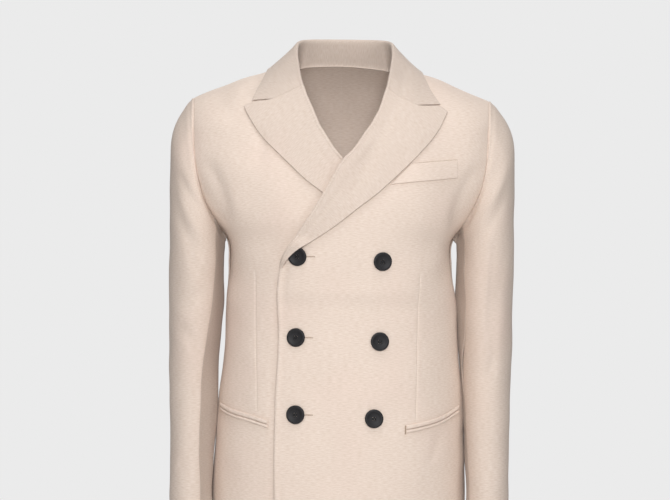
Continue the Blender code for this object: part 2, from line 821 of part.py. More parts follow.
def seam_angles(left):
    """Angle of the forearm seam at each row of a sleeve."""
    head = np.full(HEAD_ROWS + 1, SLEEVE_TOP_Z)
    lower = np.linspace(SLEEVE_TOP_Z, SLEEVE_LEVELS[0].z, ARM_ROWS + 1)[1:]
    return sleeve_level(np.concatenate([head, lower]), "left_seam" if left else "right_seam")


def make_sleeve(left, top, material):
    """The top or the under piece of a sleeve."""
    gap = math.degrees(HALF_GAP / SEAM_RADIUS)
    forearm = seam_angles(left)[:, None]
    if top:
        stations = sleeve_stations(float(forearm[0, 0]), HINDARM_ANGLE)
        first, last = forearm + gap, HINDARM_ANGLE - gap
    else:
        stations = sleeve_stations(HINDARM_ANGLE, 360 + float(forearm[0, 0]))
        first, last = HINDARM_ANGLE + gap, 360 + forearm - gap
    share = (stations - stations[0]) / (stations[-1] - stations[0])
    angles = first + (last - first) * share[None, :]
    outer, inner = sleeve_walls(angles, left)
    if not left:
        mirror = np.array([-1.0, 1.0, 1.0])
        outer, inner = outer * mirror, inner * mirror
    side = "left" if left else "right"
    name = f"sleeve_top_{side}" if top else f"sleeve_under_{side}"
    return add_piece(name, wall_mesh(name, outer, inner), material)


def sleeve_stations(first, last):
    """Angles of a sleeve piece's columns, which meet the body's rows at the armhole."""
    angles = np.array(ARMHOLE_ANGLES, float)
    ring = np.concatenate([angles, 360 - angles[::-1][1:], 360 + angles[1:]])
    inside = ring[(ring > first + STATION_CLEARANCE) & (ring < last - STATION_CLEARANCE)]
    return np.concatenate([[first], inside, [last]])


def turned_rows(edge, gap, normal, across, crest, drop, leaf, leaf_normal, stand):
    """Middle grid of a turned piece: from its panel's edge, over its crest, down its leaf.

    edge, normal and across are the panel's edge points, their outward directions and the
    directions off the panel, and gap is the space beside it. drop is how far the crest's
    shoulders lie below it, and leaf holds the surface points under the leaf.
    """
    beside = across * (gap + TURNED_WALL / 2)
    start = edge + beside - normal * (FRONT_WALL - SEAM_GAP)
    level = edge + beside
    upright = unit(crest - level)
    outwards = leaf[:, -1] - crest
    outwards = unit(outwards - upright * np.sum(outwards * upright, axis=-1, keepdims=True))
    before = crest - outwards * CREST_RADIUS - upright * drop[:, None]
    after = crest + outwards * CREST_RADIUS - upright * drop[:, None]
    between = (level + before) / 2
    lay = LAY_GAP + TURNED_WALL / 2
    lift = np.sum((after - edge) * normal, axis=-1)
    shift = after - edge - normal * lift[:, None]
    spread = STAND_ROLL_POWER + (FLAT_ROLL_POWER - STAND_ROLL_POWER) * np.exp(
        -stand / STAND_FADE
    )
    columns = [start, level, between, before, crest, after]
    for number, share in enumerate(LEAF_SHARES):
        rest = 1 - share
        height = lay + (lift - lay) * rest ** spread
        point = leaf[:, number] + leaf_normal[:, number] * height[:, None]
        columns.append(point + shift * rest ** LEAF_SHIFT_POWER)
    return np.stack(columns, axis=1)


def line_point(points, along, share):
    """Point at a share of the way along a line of points, which stand at given shares."""
    places = np.array(points)
    return np.interp(share, along, places[:, 0]), np.interp(share, along, places[:, 1])


def even_shares(points):
    """Shares of the way along a line of points, by its length."""
    steps = np.linalg.norm(np.diff(np.array(points), axis=0), axis=1)
    return np.concatenate([[0.0], np.cumsum(steps)]) / steps.sum()


def panel_edge(left, over):
    """Points on the straight stretches of a front's inner edge.

    Returns the points, their outward directions and the directions off the panel.
    """
    rows, _ = panel_rows(back=False)
    turn = front_inner_edge(left, rows)
    point = front_surface(turn, rows, lapped=left)
    normal = body_normal(turn, rows)
    side = 1.0 if left else -1.0
    across = unit(np.cross(np.gradient(point, rows, axis=0), normal)) * -side
    return tuple(between_rows(rows, values, over) for values in (point, normal, across))


def between_rows(rows, values, at):
    """Vectors read on straight lines between rows."""
    return np.stack([np.interp(at, rows, values[:, axis]) for axis in range(3)], axis=-1)


def gorge_over(left):
    """Over of the point where a gorge seam meets the roll line."""
    notch = LEFT_NOTCH if left else RIGHT_NOTCH
    return float(front_place(notch.roll[0], notch.roll[1])[1])


def lapel_rows(left):
    """Over values of a lapel's rows, from the gorge down to the break."""
    over, _ = panel_rows(back=False)
    top = gorge_over(left)
    inside = over[(over < top - ROW_CLEARANCE) & (over > BREAK_Z + ROW_CLEARANCE)][::-1]
    rows = np.concatenate([[top - GORGE_GAP / 2], inside, [BREAK_Z]])
    return with_midpoints(rows)


def on_chords(values):
    """Move every second row to the middle of its neighbours."""
    moved = values.copy()
    moved[1::2] = (values[:-1:2] + values[2::2]) / 2
    return moved


def with_midpoints(values):
    """Values with the middle of each step between them."""
    middles = (values[1:] + values[:-1]) / 2
    doubled = np.empty(len(values) + len(middles))
    doubled[::2] = values
    doubled[1::2] = middles
    return doubled


def make_lapel(left, material):
    """A peaked lapel, turned out along the roll line."""
    notch = LEFT_NOTCH if left else RIGHT_NOTCH
    contour = OVER_LAPEL_EDGE if left else UNDER_LAPEL_EDGE
    over = lapel_rows(left)
    edge, normal, across = panel_edge(left, over)
    progress = even_shares(edge)
    line = [(row.x, row.z) for row in sorted(contour, key=lambda row: -row.z)]
    far_x, far_z = line_point(line, even_shares(line), progress)
    top_line = [(edge[0, 0], edge[0, 2]), notch.corner, notch.lapel_corner, notch.peak]
    top_shares = (0.0, CORNER_SHARE, LAPEL_CORNER_SHARE, 1.0)
    leaf, leaf_normal = [], []
    for share in LEAF_SHARES:
        straight_x = edge[:, 0] * (1 - share) + far_x * share
        straight_z = edge[:, 2] * (1 - share) + far_z * share
        top_x, top_z = line_point(top_line, top_shares, share)
        top_z = top_z - GORGE_GAP / 2
        bend = np.clip(1 - np.arange(len(over)) / LAPEL_BEND_ROWS, 0.0, 1.0)
        x = straight_x + (top_x - straight_x[0]) * bend
        z = straight_z + (top_z - straight_z[0]) * bend
        turn, place = front_place(x, z)
        point = front_surface(turn, place, lapped=left)
        direction = body_normal(turn, place)
        if left:
            point = point + direction * button_cover(x, z)[:, None]
        leaf.append(point)
        leaf_normal.append(direction)
    leaf = np.stack(leaf, axis=1)
    leaf_normal = np.stack(leaf_normal, axis=1)
    if left:
        flat = (ROLL_FLAT_END - progress) / (ROLL_FLAT_END - ROLL_FLAT_START)
    else:
        flat = (over - UNDER_ROLL_FLAT_Z) / UNDER_ROLL_FADE
    rise = CREST_RISE * ease(flat)
    crest = edge + normal * (LAY_GAP + TURNED_WALL / 2 + rise)[:, None]
    if left:
        crest = crest + normal * button_cover(edge[:, 0], edge[:, 2])[:, None]
    stand = np.full(len(over), LAPEL_STAND)
    drop = rise * CREST_DROP
    middle = turned_rows(
        edge, LAPEL_GAP, normal, across, crest, drop, leaf, leaf_normal, stand
    )
    outer, inner = thickened(middle, TURNED_WALL)
    name = "lapel_left" if left else "lapel_right"
    return add_piece(name, wall_mesh(name, outer, inner), material)


def button_cover(x, z):
    """Rise of the lapel where its edge lies over the top button."""
    reach = np.hypot(x - COVERED_BUTTON[0], z - COVERED_BUTTON[1])
    return BUTTON_COVER_RISE * ease(
        (BUTTON_COVER_FAR - reach) / (BUTTON_COVER_FAR - BUTTON_COVER_NEAR)
    )


def collar_shares(left, rows):
    """Shares of the collar's stations, which meet the corners of the panels' neck edges."""
    side = 1 if left else -1
    fine = np.linspace(0, 1, COLLAR_SAMPLES)
    neck_over = smooth(rows, "neck_over", fine)
    over, _ = panel_rows(back=False)
    front = over[(over > rows[0].neck_over + COLLAR_CLEARANCE) & (over < -TINY)]
    neck_turn = float(turn_at(NECK_CENTRE_X * side + SHOULDER_STATION.neck_x, 0.0))
    turns = np.linspace(neck_turn, 0, NECK_COLUMNS + 1)
    behind = fine >= SHOULDER_STATION.share
    neck_x = smooth(rows, "neck_x", fine[behind]) + NECK_CENTRE_X * side
    places = turn_at(neck_x, np.zeros(neck_x.shape))
    back = np.interp(-turns, -places, fine[behind])
    ahead = fine <= SHOULDER_STATION.share
    front = np.interp(front, neck_over[ahead], fine[ahead])
    return with_midpoints(np.concatenate([[0.0], front, back]))


def half_collar(left):
    """Middle grid of one half of the collar, from the gorge to the centre back."""
    side = 1 if left else -1
    notch = LEFT_NOTCH if left else RIGHT_NOTCH
    top = gorge_over(left) + GORGE_GAP / 2
    edge, normal, _ = panel_edge(left, np.array([top]))
    first_crest = edge[0] + normal[0] * (LAY_GAP + TURNED_WALL / 2 + CREST_RISE)
    tip_turn, tip_over = front_place(notch.collar_point[0], notch.collar_point[1])
    first_x = (edge[0, 0] - NECK_CENTRE_X) * side
    tip_x = (body_form(tip_turn, tip_over)[0] - NECK_CENTRE_X) * side
    first = Station(
        0.0,
        float(first_x),
        top,
        float((first_crest[0] - NECK_CENTRE_X) * side),
        float(first_crest[1]),
        float(first_crest[2]),
        float(tip_x),
        float(tip_over),
    )
    rows = (first,) + COLLAR_SECTIONS
    shares = collar_shares(left, rows)
    neck_over = smooth(rows, "neck_over", shares)
    neck_x = NECK_CENTRE_X + side * smooth(rows, "neck_x", shares)
    crest_x = NECK_CENTRE_X + side * smooth(rows, "crest_x", shares)
    crest_y = smooth(rows, "crest_y", shares)
    crest_z = smooth(rows, "crest_z", shares)
    edge_over = smooth(rows, "edge_over", shares)
    edge_x = NECK_CENTRE_X + side * smooth(rows, "edge_x", shares)
    ahead = neck_over < 0
    front_base, front_out, _ = panel_edge(left, neck_over)
    neck_over = np.where(ahead, neck_over, neck_top(neck_x))
    neck_turn = turn_at(neck_x, neck_over)
    edge_turn = turn_at(edge_x, edge_over)
    base = front_surface(neck_turn, neck_over, lapped=left)
    base = on_chords(np.where(ahead[:, None], front_base, base))
    outward = body_normal(neck_turn, neck_over)
    outward = on_chords(np.where(ahead[:, None], front_out, outward))
    off = on_chords(unit(np.cross(np.gradient(base, axis=0), outward)) * -side)
    crest = np.stack([crest_x, crest_y, crest_z], axis=-1)
    top_line = [(edge[0, 0], edge[0, 2]), notch.corner, notch.collar_point]
    top_shares = (0.0, CORNER_SHARE, 1.0)
    leaf, leaf_normal = [], []
    for share in LEAF_SHARES:
        turn = neck_turn * (1 - share) + edge_turn * share
        place = neck_over * (1 - share) + edge_over * share
        line_x, line_z = line_point(top_line, top_shares, share)
        line_turn, line_over = front_place(line_x, line_z + GORGE_GAP / 2)
        bend = np.clip(1 - shares / COLLAR_BEND_SHARE, 0.0, 1.0)
        turn = turn + (line_turn - turn[0]) * bend
        place = place + (line_over - place[0]) * bend
        leaf.append(front_surface(turn, place, lapped=left))
        leaf_normal.append(body_normal(turn, place))
    leaf = np.stack(leaf, axis=1)
    leaf_normal = np.stack(leaf_normal, axis=1)
    stand = np.linalg.norm(crest - base, axis=-1)
    drop = np.full(len(shares), CREST_RISE * CREST_DROP)
    return turned_rows(
        base, NECK_GAP, outward, off, crest, drop, leaf, leaf_normal, stand
    )


def make_collar(material):
    """The collar: its stand and leaf, from gorge to gorge round the back of the neck."""
    left = half_collar(True)
    right = half_collar(False)
    centre = (left[-1:] + right[-1:]) / 2
    middle = np.concatenate([left[:-1], centre, right[:-1][::-1]])
    outer, inner = thickened(middle, TURNED_WALL)
    return add_piece("collar", wall_mesh("collar", outer, inner), material)


def lying_strip(name, x, z, thickness, lapped, material):
    """A flat piece that lies on a front, through matching grids of x and z."""
    turn, over = front_place(x, z)
    outer = front_surface(turn, over, lapped, rise=STRIP_GAP + thickness)
    inner = front_surface(turn, over, lapped, rise=STRIP_GAP)
    return add_piece(name, wall_mesh(name, outer, inner), material)


def make_welt(material):
    """The breast pocket's welt."""
    (top_start, top_end), (low_start, low_end) = WELT_CORNERS
    along = np.linspace(0, 1, WELT_SEGMENTS + 1)[None, :]
    down = np.linspace(0, 1, WELT_ROWS + 1)[:, None]
    grids = []
    for axis in (0, 1):
        top = top_start[axis] * (1 - along) + top_end[axis] * along
        low = low_start[axis] * (1 - along) + low_end[axis] * along
        grids.append(top * (1 - down) + low * down)
    return lying_strip("breast_welt", grids[0], grids[1], WELT_WALL, True, material)


def make_jet(left, upper, material):
    """One jetted edge of a hip pocket."""
    line = LEFT_POCKET if left else RIGHT_POCKET
    order = sorted(line, key=lambda row: row.x)
    keys = np.array([row.x for row in order])
    values = np.array([row.z for row in order])
    x = np.linspace(keys[0], keys[-1], JET_SEGMENTS + 1)[None, :]
    z = smooth_values(keys, values, x)
    near, far = (JET_NEAR, UPPER_JET_FAR) if upper else (-LOWER_JET_FAR, -JET_NEAR)
    height = np.array([near, far])[:, None]
    side = "left" if left else "right"
    level = "upper" if upper else "lower"
    name = f"pocket_jet_{level}_{side}"
    grid_x = np.repeat(x, 2, axis=0)
    return lying_strip(name, grid_x, z + height, STRIP_WALL, left, material)


def make_button_mesh():
    """A round button with a rim and four holes, its flat back at zero."""
    profile = bpy.data.meshes.new("button_profile")
    points = [(radius, 0.0, height) for radius, height in BUTTON_PROFILE]
    edges = [(number, number + 1) for number in range(len(points) - 1)]
    profile.from_pydata(points, edges, [])
    turned = bpy.data.objects.new("button_turned", profile)
    bpy.data.collections["cutters"].objects.link(turned)
    screw = turned.modifiers.new("turn", "SCREW")
    screw.steps = BUTTON_STEPS
    screw.render_steps = BUTTON_STEPS
    screw.use_merge_vertices = True
    screw.merge_threshold = MERGE_DISTANCE
    for side in (-1, 1):
        for level in (-1, 1):
            bpy.ops.mesh.primitive_cylinder_add(
                vertices=HOLE_SIDES,
                radius=HOLE_RADIUS,
                depth=HOLE_DEPTH,
                location=(side * HOLE_SPACING, level * HOLE_SPACING, 0.0),
            )
            hole = bpy.context.object
            hole.hide_render = True
            hole.display_type = "WIRE"
            move_to(hole, "cutters")
            cut = turned.modifiers.new("hole", "BOOLEAN")
            cut.operation = "DIFFERENCE"
            cut.solver = "EXACT"
            cut.object = hole
    bpy.context.view_layer.update()
    evaluated = turned.evaluated_get(bpy.context.evaluated_depsgraph_get())
    mesh = bpy.data.meshes.new_from_object(evaluated)
    mesh.name = "button"
    mesh.shade_smooth()
    mesh.set_sharp_from_angle(angle=SHARP_ANGLE)
    bpy.data.objects.remove(turned)
    return mesh


def move_to(piece, collection):
    """Keep an object in one collection only."""
    for owner in piece.users_collection:
        owner.objects.unlink(piece)
    bpy.data.collections[collection].objects.link(piece)


def place_button(number, place, mesh, material):
    """Seat a button on the lapped front, square to the cloth."""
    turn, over = front_place(place[0], place[1])
    normal = Vector(body_normal(turn, over))
    seat = Vector(front_surface(turn, over, lapped=True, rise=BUTTON_SEAT + SEAM_GAP))
    piece = add_piece(f"button_{number}", mesh, material)
    upright = Vector((0.0, 0.0, 1.0))
    across = upright.cross(normal).normalized()
    turned = Matrix((across, normal.cross(across), normal)).transposed()
    piece.matrix_world = Matrix.Translation(seat) @ turned.to_4x4()
    return piece


def make_material(name, colour, roughness):
    """A plain finish."""
    material = bpy.data.materials.new(name)
    material.use_nodes = True
    shader = material.node_tree.nodes["Principled BSDF"]
    shader.inputs["Base Color"].default_value = colour
    shader.inputs["Roughness"].default_value = roughness
    material.diffuse_color = colour
    return material


def clear_scene():
    """Remove every object, and make the two collections."""
    for item in list(bpy.data.objects):
        bpy.data.objects.remove(item, do_unlink=True)
    for name in (MODEL, "cutters"):
        collection = bpy.data.collections.new(name)
        bpy.context.scene.collection.children.link(collection)


def main():
    """Build the blazer."""
    clear_scene()
    for left in (True, False):
        side = "left" if left else "right"
        make_front(left, make_material(f"front_{side}_cloth", CLOTH_COLOUR, CLOTH_ROUGHNESS))
        make_back(left, make_material(f"back_{side}_cloth", CLOTH_COLOUR, CLOTH_ROUGHNESS))
        for top in (True, False):
            part = "top" if top else "under"
            cloth = make_material(f"sleeve_{part}_{side}_cloth", CLOTH_COLOUR, CLOTH_ROUGHNESS)
            make_sleeve(left, top, cloth)
        make_lapel(left, make_material(f"lapel_{side}_cloth", CLOTH_COLOUR, CLOTH_ROUGHNESS))
        for upper in (True, False):
            part = "upper" if upper else "lower"
            cloth = make_material(f"pocket_jet_{part}_{side}_cloth", CLOTH_COLOUR, CLOTH_ROUGHNESS)
            make_jet(left, upper, cloth)
    make_collar(make_material("collar_cloth", CLOTH_COLOUR, CLOTH_ROUGHNESS))
    make_welt(make_material("breast_welt_cloth", CLOTH_COLOUR, CLOTH_ROUGHNESS))
    button_mesh = make_button_mesh()
    for number, place in enumerate(BUTTON_PLACES, start=1):
        resin = make_material(f"button_{number}_resin", BUTTON_COLOUR, BUTTON_ROUGHNESS)
        place_button(number, place, button_mesh.copy(), resin)


main()
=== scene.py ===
"""Double-breasted blazer of beige wool crepe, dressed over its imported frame.

Units are metres and +Z is up. +X is the wearer's left and the front faces -Y. Each cloth
piece is a thin closed wall laid on the worn body form or on a sleeve form. A place on the
body form has two coordinates: turn, the angle round the body from its middle towards +X,
and over, the height below the shoulder line, negative in front and positive behind.
"""
import logging
import math
from dataclasses import astuple, dataclass
from enum import Enum
from typing import NamedTuple

import bmesh
import bpy
import numpy as np
from mathutils import Matrix, Vector


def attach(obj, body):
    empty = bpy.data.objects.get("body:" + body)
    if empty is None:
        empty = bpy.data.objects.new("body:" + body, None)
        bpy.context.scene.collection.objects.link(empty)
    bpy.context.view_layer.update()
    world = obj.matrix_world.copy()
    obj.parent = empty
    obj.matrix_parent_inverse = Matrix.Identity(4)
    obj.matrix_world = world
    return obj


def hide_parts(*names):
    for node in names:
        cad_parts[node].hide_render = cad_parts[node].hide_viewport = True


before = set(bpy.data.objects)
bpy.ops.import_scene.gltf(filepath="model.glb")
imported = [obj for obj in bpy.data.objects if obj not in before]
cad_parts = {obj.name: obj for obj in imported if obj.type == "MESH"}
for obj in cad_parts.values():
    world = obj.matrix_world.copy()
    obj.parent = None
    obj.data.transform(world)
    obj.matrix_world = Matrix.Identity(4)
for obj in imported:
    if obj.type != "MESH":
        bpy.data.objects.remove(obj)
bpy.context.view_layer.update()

LOG = logging.getLogger("blazer")
Array = np.ndarray

SEAM_GAP = 0.0003
HALF_GAP = 0.00003
LAY_GAP = 0.0015
STRIP_GAP = 0.0006
FRONT_WALL = 0.0024
BACK_WALL = 0.0021
SLEEVE_WALL = 0.0020
TURNED_WALL = 0.0018
HEM_OVER = 0.745
ARMHOLE_OVER = 0.262
SIDE_TURN = math.pi / 2
NECK_CENTRE_X = 0.0045
CLOTH_UV = "cloth"
LIP_STEPS = (0.0, 0.0004, 0.0009, 0.0016, 0.0030, 0.0052)
# How far the left and the right sleeve hang out from their form.
SLEEVE_SHIFTS = (0.0055, 0.0)
POINTS_AT_ONCE = 2000


class Side(Enum):
    """The wearer's side that a piece is on."""

    LEFT = 1
    RIGHT = -1

    @property
    def word(self) -> str:
        """The side's name, as node names end."""
        return self.name.lower()


class Edge(Enum):
    """How an edge of a cloth piece is finished."""

    TURNED = "turned under, with a soft round lip"
    GORGE = "sewn flush as far as the notch, and turned beyond it"
    SEAMED = "sewn to its neighbour, dipping into the seam"
    BURIED = "under another piece"


class Level(NamedTuple):
    """A level section of the body form."""

    z: float
    centre_x: float
    half_width: float
    front: float
    back: float


class Ridge(NamedTuple):
    """A point of the shoulder line, by its distance from the middle."""

    x: float
    z: float


class Armhole(NamedTuple):
    """A point of the armhole seam: 0 degrees is under the arm, 180 on the shoulder."""

    angle: float
    over: float
    front_x: float
    back_x: float


class SleeveLevel(NamedTuple):
    """A level section of the right sleeve, with both sleeves' forearm seam angles."""

    z: float
    centre_x: float
    centre_y: float
    half_width: float
    half_depth: float
    right_seam: float
    left_seam: float


class Outline(NamedTuple):
    """A point of a line on the front, seen from ahead."""

    z: float
    x: float


class Notch(NamedTuple):
    """Where the collar meets a lapel, seen from ahead."""

    roll: tuple
    corner: tuple
    collar_point: tuple
    lapel_corner: tuple
    peak: tuple


class Station(NamedTuple):
    """A section across half the collar, from the gorge (share 0) to the centre back."""

    share: float
    neck_x: float
    neck_over: float
    crest_x: float
    crest_y: float
    crest_z: float
    edge_x: float
    edge_over: float


class Fold(NamedTuple):
    """A soft ridge (height above zero) or trough on the body, seen from ahead."""

    side: int
    x: float
    z: float
    to_x: float
    to_z: float
    width: float
    height: float
    bow: float = 0.0


class SleeveFold(NamedTuple):
    """A soft ridge or trough round part of a sleeve, by angle in degrees and height."""

    angle: float
    z: float
    to_angle: float
    to_z: float
    width: float
    height: float
    bow: float = 0.0


class Ripple(NamedTuple):
    """A long low wave of the cloth: waves a metre each way, phase and height."""

    x: float
    y: float
    z: float
    phase: float
    height: float


class Cut(NamedTuple):
    """The flat cloth that a piece is cut from: width and length, and the cut's area."""

    flat: tuple
    area: float


def table(kind: type, *rows: tuple) -> tuple:
    """Rows of one kind, in their order."""
    return tuple(kind(*row) for row in rows)


BODY_LEVELS = table(
    Level,
    (-0.745, 0.002, 0.1925, 0.137, 0.137), (-0.640, 0.002, 0.1890, 0.136, 0.132),
    (-0.560, 0.003, 0.1860, 0.134, 0.122), (-0.500, 0.004, 0.1825, 0.131, 0.110),
    (-0.440, 0.004, 0.1755, 0.129, 0.099), (-0.395, 0.004, 0.1725, 0.128, 0.096),
    (-0.350, 0.003, 0.1710, 0.129, 0.100), (-0.300, 0.001, 0.1675, 0.132, 0.110),
    (-0.262, 0.000, 0.1700, 0.134, 0.117), (-0.235, 0.000, 0.1920, 0.135, 0.121),
    (-0.205, 0.000, 0.2130, 0.134, 0.124), (-0.170, 0.000, 0.2290, 0.130, 0.125),
    (-0.135, 0.000, 0.2360, 0.122, 0.123), (-0.100, 0.000, 0.2355, 0.112, 0.118),
)

SHOULDER_LINE = table(
    Ridge,
    (-0.040, 0.0140), (0.000, 0.0190), (0.040, 0.0140), (0.078, -0.0008), (0.114, -0.0119),
    (0.145, -0.0212), (0.172, -0.0322), (0.195, -0.0416), (0.2205, -0.0518), (0.2355, -0.0590),
)

ARMHOLE_SEAM = table(
    Armhole,
    (0, 0.262, 0.1700, 0.1700), (20, 0.253, 0.1765, 0.1770), (40, 0.236, 0.1860, 0.1880),
    (60, 0.214, 0.1965, 0.2000), (80, 0.185, 0.2065, 0.2095), (100, 0.152, 0.2130, 0.2150),
    (120, 0.117, 0.2165, 0.2175), (140, 0.080, 0.2180, 0.2185), (160, 0.041, 0.2193, 0.2195),
    (180, 0.000, 0.2205, 0.2205),
)

SLEEVE_LEVELS = table(
    SleeveLevel,
    (-0.662, 0.2135, -0.056, 0.0308, 0.0500, 57, 24),
    (-0.633, 0.2151, -0.050, 0.0310, 0.0505, 57, 24),
    (-0.570, 0.2146, -0.038, 0.0329, 0.0525, 66, 23),
    (-0.505, 0.2141, -0.025, 0.0354, 0.0550, 67, 22),
    (-0.455, 0.2148, -0.016, 0.0366, 0.0580, 64, 16),
    (-0.400, 0.2140, -0.010, 0.0385, 0.0610, 55, 30),
    (-0.354, 0.2126, -0.005, 0.0406, 0.0640, 48, 38),
    (-0.300, 0.2134, -0.002, 0.0412, 0.0680, 42, 32),
)

OVER_ROLL = table(
    Outline,
    (-0.3030, -0.0838), (-0.2880, -0.0790), (-0.2676, -0.0668), (-0.2487, -0.0555),
    (-0.2264, -0.0412), (-0.1950, -0.0230), (-0.1500, 0.0035), (-0.1364, 0.0171),
    (-0.1049, 0.0372), (-0.0744, 0.0542), (-0.0433, 0.0645),
)

UNDER_ROLL = table(
    Outline,
    (-0.3030, 0.0935), (-0.2880, 0.0870), (-0.2487, 0.0635), (-0.1950, 0.0305),
    (-0.1472, 0.0036), (-0.1352, -0.0072), (-0.1077, -0.0249), (-0.0802, -0.0387),
    (-0.0560, -0.0494), (-0.0400, -0.0552),
)

OVER_LAPEL_EDGE = table(
    Outline,
    (-0.3030, -0.0824), (-0.2995, -0.0800), (-0.2945, -0.0755), (-0.2886, -0.0705),
    (-0.2776, -0.0587), (-0.2624, -0.0362), (-0.2387, -0.0020), (-0.2172, 0.0249),
    (-0.1965, 0.0517), (-0.1843, 0.0653), (-0.1466, 0.1041), (-0.1329, 0.1165),
    (-0.1174, 0.1298), (-0.0974, 0.1432), (-0.0752, 0.1539),
)

UNDER_LAPEL_EDGE = table(
    Outline,
    (-0.3080, 0.0850), (-0.3004, 0.0830), (-0.2893, 0.0770), (-0.2674, 0.0530),
    (-0.2340, 0.0150), (-0.1949, -0.0261), (-0.1776, -0.0492), (-0.1550, -0.0734),
    (-0.1317, -0.0977), (-0.1197, -0.1096), (-0.1065, -0.1203), (-0.0936, -0.1287),
    (-0.0807, -0.1365), (-0.0705, -0.1416),
)

NOTCHES = {
    Side.LEFT: Notch(
        roll=(0.0645, -0.0433),
        corner=(0.1087, -0.0665),
        collar_point=(0.1438, -0.0645),
        lapel_corner=(0.1434, -0.0672),
        peak=(0.1539, -0.0752),
    ),
    Side.RIGHT: Notch(
        roll=(-0.0552, -0.0400),
        corner=(-0.0999, -0.0595),
        collar_point=(-0.1299, -0.0621),
        lapel_corner=(-0.1297, -0.0648),
        peak=(-0.1416, -0.0705),
    ),
}

COLLAR_SECTIONS = table(
    Station,
    (0.12, 0.0680, -0.051, 0.0665, -0.0720, -0.0215, 0.1273, -0.051),
    (0.25, 0.0730, -0.040, 0.0700, -0.0470, -0.0010, 0.1208, -0.036),
    (0.37, 0.0765, -0.022, 0.0720, -0.0230, 0.0160, 0.1163, -0.022),
    (0.48, 0.0780, 0.000, 0.0715, 0.0020, 0.0300, 0.1130, 0.000),
    (0.60, 0.0735, 0.015, 0.0670, 0.0220, 0.0370, 0.1058, 0.017),
    (0.73, 0.0590, 0.023, 0.0530, 0.0370, 0.0405, 0.0830, 0.031),
    (0.87, 0.0330, 0.029, 0.0300, 0.0470, 0.0420, 0.0440, 0.037),
    (1.00, 0.0000, 0.031, 0.0000, 0.0505, 0.0425, 0.0000, 0.040),
)

BODY_FOLDS = table(
    Fold,
    (-1, -0.186, -0.205, -0.150, -0.335, 0.016, -0.0035),
    (-1, -0.160, -0.200, -0.136, -0.300, 0.018, 0.0025),
    (-1, 0.184, -0.205, 0.150, -0.330, 0.016, -0.0035),
    (-1, 0.160, -0.205, 0.138, -0.310, 0.018, 0.0022),
    (-1, -0.185, -0.050, -0.150, -0.100, 0.016, -0.0022),
    (-1, -0.1452, -0.0508, -0.1186, -0.0275, 0.008, -0.0018),
    (-1, -0.1150, -0.1040, -0.1210, -0.1550, 0.010, -0.0022, 0.003),
    (-1, 0.0960, -0.0238, 0.0090, -0.2047, 0.012, -0.0042, 0.004),
    (-1, 0.1474, -0.5430, 0.1305, -0.5850, 0.007, -0.0018, 0.002),
    (-1, -0.196, -0.150, -0.162, -0.232, 0.010, -0.0030, 0.004),
    (-1, 0.199, -0.155, 0.163, -0.238, 0.010, -0.0030, -0.004),
    (1, -0.184, -0.150, -0.124, -0.300, 0.016, -0.0050, 0.008),
    (1, -0.160, -0.130, -0.092, -0.262, 0.014, 0.0026, 0.006),
    (1, 0.186, -0.155, 0.121, -0.315, 0.017, -0.0050, -0.009),
    (1, 0.156, -0.140, 0.096, -0.258, 0.013, 0.0024, -0.006),
    (1, -0.130, -0.340, -0.020, -0.398, 0.014, -0.0042, 0.006),
    (1, 0.128, -0.352, 0.030, -0.402, 0.013, -0.0038, -0.006),
    (1, -0.105, -0.395, 0.060, -0.430, 0.013, -0.0030, 0.007),
    (1, 0.034, -0.520, 0.050, -0.700, 0.016, -0.0026, 0.005),
    (1, -0.048, -0.540, -0.066, -0.715, 0.018, -0.0024, -0.004),
)

SLEEVE_FOLDS = {
    Side.RIGHT: table(
        SleeveFold,
        (118, -0.120, 82, -0.168, 0.008, -0.0016, 0.002),
        (124, -0.168, 72, -0.222, 0.009, -0.0022, 0.003),
        (126, -0.196, 70, -0.262, 0.008, 0.0014, 0.003),
        (128, -0.226, 66, -0.292, 0.010, -0.0022, 0.004),
        (104, -0.268, 68, -0.330, 0.009, -0.0016, 0.002),
        (62, -0.330, 118, -0.365, 0.012, -0.0026, -0.004),
        (74, -0.430, 126, -0.390, 0.012, -0.0024, 0.004),
        (235, -0.190, 205, -0.320, 0.018, -0.0035), (262, -0.360, 214, -0.420, 0.018, 0.0030),
        (70, -0.560, 120, -0.600, 0.014, -0.0020),
    ),
    Side.LEFT: table(
        SleeveFold,
        (364, -0.255, 364, -0.470, 0.020, 0.0046),
        (116, -0.096, 84, -0.142, 0.008, -0.0016, 0.002),
        (122, -0.138, 74, -0.190, 0.008, -0.0022, 0.003),
        (126, -0.162, 72, -0.222, 0.008, 0.0014, 0.003),
        (124, -0.192, 64, -0.262, 0.010, -0.0022, 0.005),
        (100, -0.260, 84, -0.420, 0.008, -0.0024, 0.003),
        (118, -0.290, 96, -0.470, 0.010, -0.0026, -0.004),
        (70, -0.470, 112, -0.430, 0.012, -0.0020, 0.003),
        (238, -0.200, 208, -0.330, 0.018, -0.0035), (258, -0.370, 216, -0.430, 0.018, 0.0030),
        (66, -0.550, 118, -0.590, 0.014, -0.0020),
    ),
}

RIPPLES = table(
    Ripple,
    (9.0, 4.0, 3.0, 0.4, 0.00040), (-6.0, 7.0, 8.0, 1.9, 0.00035),
    (15.0, -9.0, 5.0, 2.7, 0.00020), (4.0, 11.0, -14.0, 4.2, 0.00018),
    (-13.0, 5.0, -19.0, 5.1, 0.00012),
)

DARTS = {
    Side.LEFT: table(Outline, (-0.3150, 0.1125), (-0.5175, 0.1110)),
    Side.RIGHT: table(Outline, (-0.3110, -0.1228), (-0.5100, -0.1171)),
}

WELT_CORNERS = (
    ((0.0999, -0.1538), (0.1685, -0.1444)),
    ((0.0700, -0.1834), (0.1688, -0.1708)),
)

